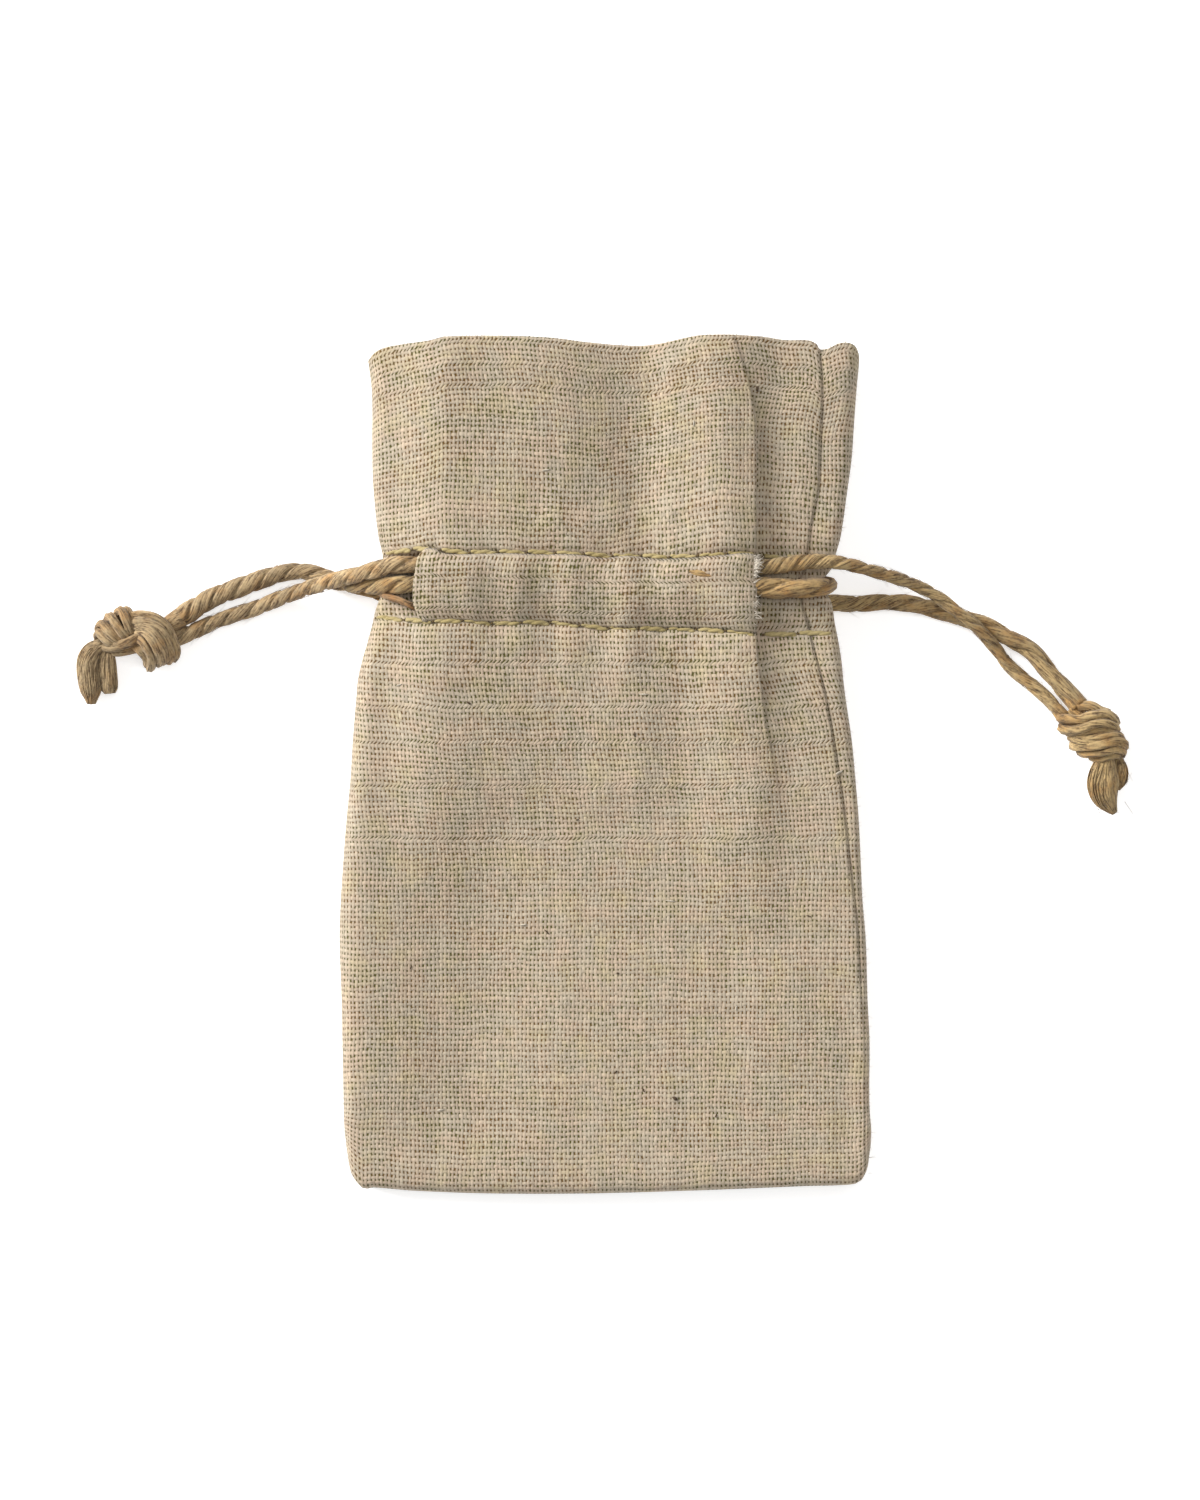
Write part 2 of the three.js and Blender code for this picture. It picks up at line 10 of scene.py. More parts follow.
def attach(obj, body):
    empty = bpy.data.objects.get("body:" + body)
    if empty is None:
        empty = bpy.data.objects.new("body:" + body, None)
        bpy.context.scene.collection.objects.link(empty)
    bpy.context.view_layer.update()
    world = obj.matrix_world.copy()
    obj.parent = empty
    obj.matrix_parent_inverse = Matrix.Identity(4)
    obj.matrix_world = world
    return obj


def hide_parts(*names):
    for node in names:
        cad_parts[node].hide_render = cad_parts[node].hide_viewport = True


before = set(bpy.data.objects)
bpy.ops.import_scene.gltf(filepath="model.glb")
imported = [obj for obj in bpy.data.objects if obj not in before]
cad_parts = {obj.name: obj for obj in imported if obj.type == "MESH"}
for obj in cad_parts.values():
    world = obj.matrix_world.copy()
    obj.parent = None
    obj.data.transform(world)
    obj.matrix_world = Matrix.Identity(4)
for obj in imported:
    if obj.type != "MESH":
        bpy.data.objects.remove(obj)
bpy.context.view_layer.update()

bl_info = {
    "name": "Linen drawstring bag",
    "version": (1, 0, 0),
    "blender": (4, 5, 0),
    "location": "3D View > Sidebar > Bag",
    "description": "Makes a small linen bag with a stitched channel and two twisted jute drawcords",
    "category": "Add Mesh",
}

MM = 0.001

# The camera looks straight down from here

PICTURE_CENTRE = (-0.985, 2.27)  # x and y under the camera
PICTURE_HEIGHT = 227.25  # length along y that the picture shows at the bag's middle level
BAG_LEVEL = 4.0
LENS = 100.0
SENSOR = 36.0
CAMERA_DISTANCE = PICTURE_HEIGHT * LENS / SENSOR


def at_level(level, points):
    """Points (x, y) as the picture shows them, moved to where they are on a surface at this height."""
    nearer = 1 - (level - BAG_LEVEL) / CAMERA_DISTANCE
    middle_x, middle_y = PICTURE_CENTRE
    return [(middle_x + (x - middle_x) * nearer, middle_y + (y - middle_y) * nearer) for x, y in points]


def turned(points):
    return [(y, x) for x, y in points]


# The bag's outline, seen from above: y up the bag, x of the side

LEFT_SIDE = [
    (-64.8, -38.9), (-62.0, -39.3), (-59.8, -39.5), (-56.8, -39.7), (-53.8, -39.8),
    (-47.7, -39.9), (-41.7, -40.0), (-35.6, -40.1), (-26.5, -40.4), (-20.5, -40.2), (-14.4, -39.8),
    (-8.3, -39.3), (-2.3, -38.7), (3.8, -38.3), (9.8, -37.8), (12.9, -37.5), (15.9, -36.8),
    (18.9, -35.9), (22.0, -35.1), (26.8, -34.3), (31.1, -33.7), (34.1, -34.3), (37.1, -34.7),
    (43.2, -35.2), (49.2, -35.3), (56.3, -35.3), (60.5, -35.5), (64.8, -36.1),
]
RIGHT_SIDE = [
    (-64.8, 39.7), (-62.0, 40.0), (-59.5, 40.1), (-56.8, 40.1), (-50.8, 39.8),
    (-41.7, 39.8), (-35.6, 39.5), (-26.5, 39.2), (-20.5, 38.7), (-14.4, 38.4), (-8.3, 38.1),
    (-2.3, 37.6), (3.8, 37.0), (9.8, 36.1), (12.9, 35.7), (15.9, 35.4), (18.9, 34.9),
    (22.0, 34.3), (26.8, 33.9), (31.1, 34.4), (34.1, 35.2), (37.1, 35.7), (40.1, 36.1),
    (46.2, 36.9), (52.3, 37.3), (58.3, 37.7), (64.8, 38.2),
]

# Heights over the surface that the bag lies on, by y: the front, the side edges and the back

FRONT_HEIGHT = [
    (-64.8, 2.0), (-64.65, 3.6), (-64.4, 5.5), (-63.9, 6.6), (-63.0, 7.0), (-61.0, 7.2), (-57.0, 7.4),
    (-50.0, 7.7), (-38.0, 8.3), (-26.0, 8.9), (-14.0, 9.6), (-4.0, 10.4), (5.0, 11.2),
    (12.0, 11.8), (17.0, 12.1), (24.0, 12.1), (34.0, 12.0), (41.0, 12.2), (48.0, 12.3),
    (56.0, 12.4), (61.0, 12.3), (64.8, 12.0),
]
EDGE_HEIGHT = [
    (-64.6, 1.4), (-62.0, 2.6), (-50.0, 3.8), (-26.0, 4.6), (-4.0, 5.2), (5.0, 5.8), (12.0, 6.4),
    (17.0, 7.0), (21.0, 7.6), (32.0, 7.8), (36.0, 7.8), (41.0, 7.8), (48.0, 7.8), (64.8, 7.4),
]
BACK_HEIGHT = [
    (-64.6, 0.35), (-62.5, 0.05), (10.0, 0.05), (13.0, 0.5), (17.0, 1.3), (20.8, 2.3), (32.3, 2.3),
    (36.0, 1.2), (41.0, 0.2), (44.0, 0.05), (64.8, 0.05),
]
# How square the shoulder between the front and a side edge is
SHOULDER = [(-64.8, 26.0), (-10.0, 22.0), (5.0, 14.0), (18.0, 8.0), (34.0, 7.0), (64.8, 8.0)]
SHOULDER_LEFT = -28.4  # the rolls start at these lines
SHOULDER_RIGHT = 26.5
BACK_ROLL = 4.0  # width of the roll between a side edge and the back

# The bottom fold and the lips of the mouth, as waves: x, y

BOTTOM_EDGE = [
    (-39.2, -61.4), (-38.6, -62.4), (-37.9, -63.4), (-36.8, -64.4), (-35.4, -64.2), (-29.2, -64.7),
    (-18.0, -65.1), (-2.0, -65.1), (15.0, -64.6), (30.0, -64.0), (36.5, -63.8), (38.3, -63.4),
    (39.2, -62.2), (39.8, -60.4),
]
FRONT_LIP_SEEN = [
    (-36.0, 61.9), (-34.9, 62.7), (-33.2, 63.3), (-30.4, 63.7), (-26.6, 64.1), (-24.5, 64.6),
    (-16.0, 64.75), (-8.6, 64.5), (-2.8, 63.9), (4.8, 63.5), (8.6, 63.9), (12.0, 64.6),
    (14.6, 64.95), (23.1, 64.85), (27.2, 64.35), (30.2, 64.35), (31.6, 64.0), (32.4, 63.0),
    (33.6, 63.1), (35.2, 63.9), (37.0, 63.95), (38.0, 63.4), (38.5, 62.4),
]
FRONT_LIP = at_level(11.0, FRONT_LIP_SEEN)
BACK_LIP = [(-36.0, 61.9), (-30.0, 62.4), (0.0, 62.6), (30.0, 62.9), (38.5, 62.4)]
BOTTOM_Y = -64.8
MOUTH_Y = 64.2
BOTTOM_REACH = 14.0  # how far up the bag the bottom's wave fades out
LIP_REACH = 26.0  # how far down the bag the lips' waves fade out

# The two rows of stitches that make the channel: x, y on the front

LOWER_ROW_SEEN = [
    (-35.4, 22.3), (-31.1, 22.0), (-28.9, 21.5), (-22.6, 21.8), (-16.1, 21.3), (-10.4, 21.6),
    (-5.4, 21.2), (-1.0, 20.7), (8.0, 20.6), (16.4, 20.4), (19.3, 20.1), (23.1, 19.7),
    (24.8, 19.7), (29.5, 19.9), (31.7, 20.1), (34.4, 20.0),
]
UPPER_ROW_SEEN = [
    (-33.4, 32.0), (-29.0, 32.6), (-26.0, 32.9), (-24.2, 32.0), (-16.1, 32.1), (-9.3, 32.0),
    (-5.1, 32.0), (-0.8, 31.5), (3.4, 31.8), (7.8, 31.4), (11.9, 31.5), (18.0, 31.9),
    (21.6, 32.2), (24.0, 31.5), (33.6, 31.4),
]
LOWER_ROW = at_level(12.0, LOWER_ROW_SEEN)
UPPER_ROW = at_level(12.0, UPPER_ROW_SEEN)
CHANNEL_PUFF = 1.8  # how far the cord-filled channel stands over its stitch rows
CHANNEL_LEFT = -28.4  # the front layer's turned-in end
CHANNEL_END_WAVE = [
    (0.0, 0.5), (0.12, 0.1), (0.3, -0.25), (0.55, -0.15), (0.72, 0.15), (0.88, 0.3), (1.0, 1.0),
]
CHANNEL_RIGHT = 22.45  # and its frayed end
BACK_CHANNEL_LEFT = -26.5
BACK_CHANNEL_RIGHT = 26.5
CHANNEL_SECTION = [  # its height over the rows, by the place between them
    (0, 0), (0.05, 0.13), (0.25, 0.55), (0.45, 0.88), (0.6, 1.0), (0.76, 1.0), (0.88, 0.84), (0.95, 0.56),
        (1, 0),
]
HUMP_X = 13.8  # where one cord passes over the other inside the channel
HUMP_LEVEL = 2.0
HUMP_SLOPE = 9.0
HUMP_HEIGHT = 0.9

# The inner layers of the neck, that the cords run round

NECK_LEFT = -33.9
NECK_RIGHT = 32.3
NECK_LANE_LEFT = 26.2  # where along y a cord goes round each side
NECK_LANE_RIGHT = 27.2
NECK_LANE_WIDTH = 1.7
NECK_FRONT = 10.6
NECK_BACK = 4.0

# Soft folds of the front: the crest runs from (x_low, y_low) to (x_high, y_high)
# height is above 0 for a ridge; left and right are how far its flanks reach

# x_low, y_low, x_high, y_high, height, left, right
FOLDS = [
    # the header's broad waves
    (-23.8, 24, -23.6, 80, 2.7, 10.0, 30.0),
    (-4.5, 28, -9.0, 80, 0.9, 13.0, 10.0),
    (5.4, 24, 5.4, 80, -0.5, 8.0, 5.0),
    (17.6, 26, 17.4, 80, 2.0, 12.0, 9.5),
    # its small ones, over the upper row
    (-15.0, 33, -14.0, 48, 0.3, 4.0, 4.0),
    (-7.8, 32, -7.4, 44, 0.35, 2.6, 3.0),
    (1.2, 32, 1.4, 46, 0.4, 3.0, 3.0),
    (9.4, 32, 8.8, 44, 0.35, 2.6, 3.0),
    (28.5, 34, 29.5, 60, 0.35, 4.0, 3.5),
    # the channel's puckers
    (-26.6, 6, -25.4, 42, 0.4, 7.0, 15.0),
    (4.2, -10, 4.8, 42, 0.75, 19.0, 7.0),
    (20.0, 2, 19.4, 44, 0.5, 10.0, 5.0),
    (-20.4, 16, -20.7, 36, 0.4, 2.6, 3.4),
    (-13.0, 13, -13.4, 37, 0.55, 3.0, 3.6),
    (-4.7, 12, -5.1, 37, 0.5, 3.4, 3.4),
    (3.5, 10, 3.1, 37, 0.6, 3.6, 3.2),
    (11.2, 14, 10.5, 37, 0.45, 3.4, 4.6),
    # the body's folds under it
    (-25.0, -22, -24.8, 32, 0.7, 9.5, 28.0),
    (-25.0, -14, -24.8, 32, 0.7, 9.5, 28.0),
    (-25.0, -6, -24.8, 32, 0.7, 9.5, 28.0),
    (21.8, -26, 21.4, 30, 0.5, 11.0, 7.0),
    (21.8, -16, 21.4, 30, 0.6, 11.0, 7.0),
    # the lower body
    (-38.0, -58, -36.0, 8, 0.6, 3.0, 12.0),
    (-20.0, -60, -16.0, -2, -0.8, 14.0, 14.0),
    (-13.0, -56, -15.0, -40, 0.3, 9.0, 9.0),
    (26.0, -52, 27.5, -26, 0.3, 9.0, 8.0),
    (37.0, -62, 37.0, -36, -0.3, 5.0, 4.0),
]
FOLD_FADE = 8.0  # length over which a fold rises from its ends

# The main pleat: its edge from below to above, and how strong it is there

PLEAT_LINE = [
    (-16.0, 27.6), (-8.0, 26.6), (0.0, 25.2), (8.0, 23.5), (16.0, 22.2), (22.0, 21.9), (46.0, 21.9),
    (56.0, 21.3), (64.8, 18.8),
]
PLEAT_STRENGTH = [
    (-10.0, 0.0), (0.0, 0.12), (8.0, 0.28), (15.0, 0.62), (21.0, 0.95), (26.0, 1.0), (31.0, 0.95),
        (36.0, 0.8), (44.0, 0.76),
    (50.0, 0.56), (57.0, 0.3), (64.8, 0.12),
]
PLEAT_DEPTH = 1.5  # how deep the recess beside the pleat is at the pleat, and at the seam
RECESS_END = 1.6
# The section through the pleat at full strength: it turns under itself, and goes on lower down
PLEAT_SECTION = [
    (-0.1, -0.02), (0.25, -0.1), (0.5, -0.32), (0.55, -0.6), (0.4, -0.85), (0.05, -1.02),
    (-0.35, -1.16), (-0.5, -1.3), (-0.3, -1.42), (0.2, -1.5), (0.8, -1.54),
]

# The side seam, which has turned on to the front at the right: y, x

SEAM_LINE_SEEN = [
    (-64.8, 39.4), (-50.0, 39.3), (-41.7, 39.2), (-32.7, 38.6), (-23.8, 38.0), (-17.0, 37.2),
    (-6.8, 36.0), (0.0, 35.0), (9.8, 33.3), (16.4, 31.7), (22.4, 30.2), (25.0, 29.5),
    (32.6, 30.5), (37.0, 31.1), (41.4, 32.0), (47.1, 32.3), (58.8, 32.6), (64.8, 32.2),
]
SEAM_LINE = turned(at_level(10.5, turned(SEAM_LINE_SEEN)))
SEAM_SECTION = [(-0.32, 0.0), (-0.12, -0.1), (-0.02, -0.42), (0.1, -0.55), (0.26, -0.36), (0.5, -0.3)]
SEAM_STEP = 0.3  # the strip right of the seam lies lower by this much

# The cords' routes: from each knot through the front of the channel, round the neck, back through
# the rear of the channel and out to the knot again. They are the solids' routes, but the right
# cord's bend round the neck's left side, which reaches 3 mm further out than its solid

ROUTE_LEFT = [
    (-68.0, 18.6, 2.8), (-64.6, 19.5, 2.0), (-59.6, 21.8, 1.25), (-56.4, 22.9, 1.2),
    (-53.4, 23.8, 1.3), (-50.4, 25.0, 1.9), (-46.4, 26.4, 3.7), (-42.6, 27.5, 6.2),
    (-39.9, 28.1, 8.3), (-36.0, 28.9, 10.8), (-32.5, 29.8, 12.0), (-29.0, 30.0, 12.1),
    (-20.0, 30.1, 12.1), (-8.0, 30.0, 12.1), (3.0, 29.8, 12.1), (7.0, 29.6, 12.6),
    (10.0, 29.2, 13.8), (13.0, 28.7, 14.6), (16.0, 28.1, 14.7), (19.0, 27.4, 14.5),
    (22.0, 26.8, 13.4), (25.0, 26.5, 12.4), (28.6, 26.4, 12.3), (32.2, 26.7, 10.9),
    (33.7, 27.2, 7.3), (32.2, 27.7, 3.7), (28.6, 28.0, 2.45), (20.0, 28.2, 2.45),
    (0.0, 28.5, 2.45), (-20.0, 28.7, 2.45), (-29.0, 28.7, 2.4), (-34.0, 28.4, 1.8),
    (-37.5, 27.8, 1.3), (-40.6, 27.8, 1.2), (-43.7, 28.9, 1.2), (-46.4, 29.5, 1.2),
    (-50.4, 28.9, 1.2), (-53.4, 27.9, 1.2), (-56.4, 26.8, 1.2), (-59.6, 25.6, 1.25),
    (-63.2, 23.4, 1.9), (-66.0, 21.5, 2.6),
]
ROUTE_RIGHT = [
    (69.4, 7.3, 2.3), (67.2, 9.9, 1.6), (64.8, 12.1, 1.25), (61.4, 15.0, 1.3), (58.9, 18.0, 2.0),
    (56.3, 20.8, 3.2), (53.4, 23.0, 3.9), (50.4, 25.3, 4.2), (46.9, 27.1, 5.4),
    (42.6, 28.5, 7.8), (38.6, 29.5, 10.2), (35.0, 30.3, 11.7), (31.5, 30.5, 12.1),
    (27.5, 30.1, 12.1), (24.0, 29.6, 12.1), (20.0, 28.9, 12.1), (16.0, 28.1, 12.1),
    (12.0, 27.2, 12.1), (7.0, 26.9, 12.1), (0.0, 27.0, 12.1), (-12.0, 27.2, 12.1),
    (-24.0, 27.4, 12.1), (-30.3, 27.0, 12.2), (-34.5, 26.9, 10.0), (-37.2, 27.1, 7.8),
    (-38.8, 27.2, 6.0), (-38.4, 27.1, 4.2), (-36.4, 26.6, 3.3), (-33.9, 25.8, 2.9),
    (-30.3, 25.0, 2.45), (-20.0, 24.9, 2.45), (0.0, 24.8, 2.45),
    (20.0, 24.8, 2.45), (29.0, 24.8, 2.35), (34.2, 24.7, 1.7), (38.4, 24.5, 1.25),
    (42.6, 24.8, 1.2), (46.9, 24.4, 1.2), (51.1, 23.3, 1.2), (54.2, 22.3, 1.2),
    (57.6, 21.2, 1.2), (61.4, 19.2, 1.2), (64.8, 17.1, 1.2), (67.3, 14.2, 1.25),
    (69.6, 11.5, 1.7), (71.8, 8.9, 2.5),
]

# Where each route is free and where the bag holds it. The strands are soft, so they are thicker
# in some places: widths and lay lengths are (share of the stretch, millimetres)

# name, first point, last point, widths, lays
LEFT_STRETCHES = [
    ("strand_left_over", 0, 12, [(0, 2.7), (0.2, 2.35), (0.6, 2.4), (0.78, 2.6), (1, 2.4)], [(0, 8.0),
        (0.6, 7.6), (1, 11)]),
    ("strand_left_held", 12, 29, [(0, 2.2), (0.04, 1.8), (0.366, 1.8), (0.387, 3.0), (0.45, 2.9),
        (0.5, 2.2), (1, 2.2)], [(0, 9), (0.33, 15), (0.48, 15), (0.55, 9), (1, 9)]),
    ("strand_left_under", 29, 41, [(0, 2.2), (0.35, 2.5), (0.6, 2.7), (0.85, 3.15), (0.95, 3.1),
        (1, 2.3)], [(0, 8), (0.5, 7.6), (1, 9)]),
]
RIGHT_STRETCHES = [
    ("strand_right_over", 0, 15, [(0, 2.1), (0.4, 1.95), (0.72, 2.0), (0.85, 2.5), (1, 2.2)], [(0, 12),
        (0.5, 9), (0.75, 6.4), (1, 4.7)]),
    ("strand_right_held", 15, 32, [(0, 1.9), (0.3, 1.9), (0.36, 2.6), (0.47, 2.6), (0.52, 2.2),
        (1, 2.2)], [(0, 9), (1, 9)]),
    ("strand_right_under", 32, 45, [(0, 2.2), (0.3, 2.5), (0.7, 2.65), (1, 3.0)], [(0, 9), (0.5, 11),
        (0.75, 18), (1, 26)]),
]
LOOSE_PLY = [
    (-34.4, 26.2, 9.6), (-32.6, 25.2, 11.2), (-30.8, 24.6, 11.7), (-29.4, 23.9, 11.6),
    (-28.6, 23.6, 11.2),
]


# Settings that a user would change

class LinenSettings(bpy.types.PropertyGroup):
    """The woven cloth"""
    pitch_across: bpy.props.FloatProperty(
        name="Pitch across", description="Distance between two lengthwise threads",
        default=0.600 * MM, unit="LENGTH", precision=5)
    pitch_down: bpy.props.FloatProperty(
        name="Pitch down", description="Distance between two crosswise threads",
        default=0.805 * MM, unit="LENGTH", precision=5)
    thickness: bpy.props.FloatProperty(
        name="Thickness", description="Thickness of one layer of cloth",
        default=0.4 * MM, unit="LENGTH", precision=5)
    thread: bpy.props.FloatVectorProperty(
        name="Thread", description="Colour of the linen threads",
        default=(0.418, 0.340, 0.244), subtype="COLOR", min=0, max=1)
    # Painted shade: the colour between the threads stands for the shaded layer seen through them
    gap: bpy.props.FloatVectorProperty(
        name="Gap", description="Colour between the threads",
        default=(0.112, 0.060, 0.014), subtype="COLOR", min=0, max=1)


class JuteSettings(bpy.types.PropertyGroup):
    """The twisted cords"""
    twist: bpy.props.FloatProperty(
        name="Twist", description="How hard the cords are twisted, 1 as photographed",
        default=1.0, min=0.3, max=3, subtype="FACTOR")
    light: bpy.props.FloatVectorProperty(
        name="Light fibres", description="Colour of the palest fibres",
        default=(0.420, 0.300, 0.155), subtype="COLOR", min=0, max=1)
    # Painted shade: the colour in the grooves between the fibres
    dark: bpy.props.FloatVectorProperty(
        name="Dark fibres", description="Colour between the fibres",
        default=(0.080, 0.044, 0.017), subtype="COLOR", min=0, max=1)
    fuzz: bpy.props.IntProperty(
        name="Fuzz", description="Loose fibres on each free stretch", default=240, min=0, max=2000)


class StitchSettings(bpy.types.PropertyGroup):
    """The sewing thread"""
    pitch: bpy.props.FloatProperty(
        name="Pitch", description="Length of one stitch", default=4.32 * MM, unit="LENGTH", precision=5)
    width: bpy.props.FloatProperty(
        name="Width", description="Thickness of the thread",
        default=0.95 * MM, unit="LENGTH", precision=5)
    colour: bpy.props.FloatVectorProperty(
        name="Thread", description="Colour of the sewing thread",
        default=(0.345, 0.268, 0.108), subtype="COLOR", min=0, max=1)


class StageSettings(bpy.types.PropertyGroup):
    """Camera, lamps and floor"""
    lens: bpy.props.FloatProperty(
        name="Lens", description="Focal length of the camera in millimetres",
        default=LENS, min=10, max=300)
    key_power: bpy.props.FloatProperty(
        name="Key light", description="Strength of the large lamp at the upper left",
        default=142.0, min=0, unit="POWER")
    fill_power: bpy.props.FloatProperty(
        name="Fill light", description="Strength of the lamp overhead",
        default=16.0, min=0, unit="POWER")
    sky: bpy.props.FloatProperty(
        name="Sky", description="Strength of the even light from all round", default=0.42, min=0, max=5)
    floor_glow: bpy.props.FloatProperty(
        name="Floor glow", description="Light that the pale light table gives off itself",
        default=0.55, min=0, max=2)


class BagSettings(bpy.types.PropertyGroup):
    """All settings of the bag"""
    linen: bpy.props.PointerProperty(type=LinenSettings, name="Linen")
    jute: bpy.props.PointerProperty(type=JuteSettings, name="Jute")
    stitches: bpy.props.PointerProperty(type=StitchSettings, name="Stitches")
    stage: bpy.props.PointerProperty(type=StageSettings, name="Stage")


# Curves and heights

def mix(a, b, t):
    return a + (b - a) * t


def smooth(t):
    k = min(1.0, max(0.0, t))
    return k * k * (3 - 2 * k)


class Profile:
    """A smooth curve through given (place, value) points, level past both ends."""

    def __init__(self, points):
        self.places = [p[0] for p in points]
        self.values = [p[1] for p in points]
        last = len(points) - 1
        self.slopes = []
        for i in range(len(points)):
            low = max(0, i - 1)
            high = min(last, i + 1)
            self.slopes.append(
                (self.values[high] - self.values[low]) / (self.places[high] - self.places[low]))

    def __call__(self, place):
        if place <= self.places[0]:
            return self.values[0]
        if place >= self.places[-1]:
            return self.values[-1]
        i = next(k for k, p in enumerate(self.places) if p > place) - 1
        span = self.places[i + 1] - self.places[i]
        t = (place - self.places[i]) / span
        rise = t * t * (3 - 2 * t)
        start = t * (1 - t) ** 2 * span * self.slopes[i]
        end = -t * t * (1 - t) * span * self.slopes[i + 1]
        return mix(self.values[i], self.values[i + 1], rise) + start + end


left_side = Profile(LEFT_SIDE)
right_side = Profile(RIGHT_SIDE)
front_height = Profile(FRONT_HEIGHT)
edge_height = Profile(EDGE_HEIGHT)
back_height = Profile(BACK_HEIGHT)
bottom_edge = Profile(BOTTOM_EDGE)
front_lip = Profile(FRONT_LIP)
back_lip = Profile(BACK_LIP)
lower_row = Profile(LOWER_ROW)
upper_row = Profile(UPPER_ROW)
shoulder = Profile(SHOULDER)
channel_end = Profile(CHANNEL_END_WAVE)
channel_section = Profile(CHANNEL_SECTION)
pleat_line = Profile(PLEAT_LINE)
pleat_strength = Profile(PLEAT_STRENGTH)
seam_line = Profile(SEAM_LINE)


def channel_place(x, y):
    """How far y is up the channel at x: 0 on the lower row of stitches, 1 on the upper row."""
    low = lower_row(x)
    return (y - low) / (upper_row(x) - low)


def channel_profile(place):
    """Height of the puffed channel, from 0 at its stitch rows to 1 over the cords."""
    return channel_section(place) if 0 < place < 1 else 0.0


def hump(x):
    return HUMP_HEIGHT * smooth((HUMP_LEVEL + HUMP_SLOPE - abs(x - HUMP_X)) / HUMP_SLOPE)


def folds(x, y):
    """Ridges and grooves of the front."""
    total = 0.0
    for x_low, y_low, x_high, y_high, height, left, right in FOLDS:
        if not y_low < y < y_high:
            continue
        crest = mix(x_low, x_high, (y - y_low) / (y_high - y_low))
        reach = left if x < crest else right
        away = abs(x - crest)
        if away < reach:
            ends = smooth((y - y_low) / FOLD_FADE) * smooth((y_high - y) / FOLD_FADE)
            total += height * ends * smooth(1 - away / reach)
    return total


def crumple(x, y, side):
    """Small unevenness of the cloth."""
    slow = noise.noise(Vector((x * 0.085, y * 0.06, side * 7.3)))
    quick = noise.noise(Vector((x * 0.3, y * 0.2, 3.1 + side * 5.7)))
    fine = noise.noise(Vector((x * 0.9, y * 0.7, 9.4 + side * 3.9)))
    return 0.10 * slow + 0.10 * quick + 0.035 * fine


def stitch_pull(x, y):
    """The stitches draw the cloth in along their rows, most at the needle's holes."""
    total = 0.0
    for row in (lower_row(x), upper_row(x)):
        away = y - row
        if abs(away) < 5.0:
            total += 0.22 * math.exp(-(away / 0.7) ** 2) + 0.22 * math.exp(-(away / 1.9) ** 2)
            total += 0.08 * math.exp(-abs(away) / 1.5) * math.cos(2 * math.pi * x / 4.32)
            if x > CHANNEL_RIGHT and away > 0:
                total += 0.4 * smooth(away / 0.4) * math.exp(-(away / 2.2) ** 2)
    return -total


def across_front(x, y):
    """1 over the level part of the front, falling to 0 at the side edges with a square shoulder."""
    left = left_side(y)
    right = right_side(y)
    squareness = shoulder(y)
    if x < SHOULDER_LEFT:
        t = (SHOULDER_LEFT - x) / (SHOULDER_LEFT - left)
    elif x > SHOULDER_RIGHT:
        t = (x - SHOULDER_RIGHT) / (right - SHOULDER_RIGHT)
        squareness *= 2
    else:
        return 1.0
    return math.sqrt(max(0.0, 1 - min(1.0, t) ** squareness))


def front_z(x, y):
    """Height of the front's outer cloth at rest, without the channel's puff."""
    top = front_height(y) + folds(x, y) + crumple(x, y, 1) + stitch_pull(x, y)
    return mix(edge_height(y), top, across_front(x, y))


def lip_wave(x, y, on_front):
    """How far a point at height y moves along Y to follow the bottom fold and the mouth."""
    lip = front_lip if on_front else back_lip
    bottom = (bottom_edge(x) - BOTTOM_Y) * smooth(1 - (y - BOTTOM_Y) / BOTTOM_REACH)
    mouth = (lip(x) - MOUTH_Y) * smooth(1 - (MOUTH_Y - y) / LIP_REACH)
    return bottom + mouth


# Meshes

def new_piece(name, vertices, faces, material, uvs):
    """A mesh object from points in millimetres, with UVs in millimetres of cloth or cord."""
    mesh = bpy.data.meshes.new(name)
    mesh.from_pydata([(x * MM, y * MM, z * MM) for x, y, z in vertices], [], faces)
    layer = mesh.uv_layers.new(name="cloth")
    flat = []
    for loop in mesh.loops:
        flat.extend(uvs[loop.vertex_index])
    layer.data.foreach_set("uv", flat)
    mesh.polygons.foreach_set("use_smooth", [True] * len(mesh.polygons))
    mesh.materials.append(material)
    mesh.update()
    piece = bpy.data.objects.new(name, mesh)
    bpy.context.scene.collection.objects.link(piece)
    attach(piece, "root")
    return piece


def grid_faces(rows, columns, closed=False):
    """Faces between neighbouring rows of points."""
    faces = []
    last = columns if closed else columns - 1
    for r in range(rows - 1):
        for c in range(last):
            a = r * columns + c
            b = r * columns + (c + 1) % columns
            faces.append((a, b, b + columns, a + columns))
    return faces


def thicken(piece):
    """Gives an open sheet its thickness, on the side away from its normals."""
    solidify = piece.modifiers.new("cloth thickness", "SOLIDIFY")
    solidify.thickness = bpy.context.scene.linen_bag.linen.thickness
    solidify.offset = -1
    solidify.use_even_offset = False
    depsgraph = bpy.context.evaluated_depsgraph_get()
    mesh = bpy.data.meshes.new_from_object(piece.evaluated_get(depsgraph))
    piece.modifiers.clear()
    piece.data = mesh
    return piece


TINY = 1e-6  # keeps lengths off nought


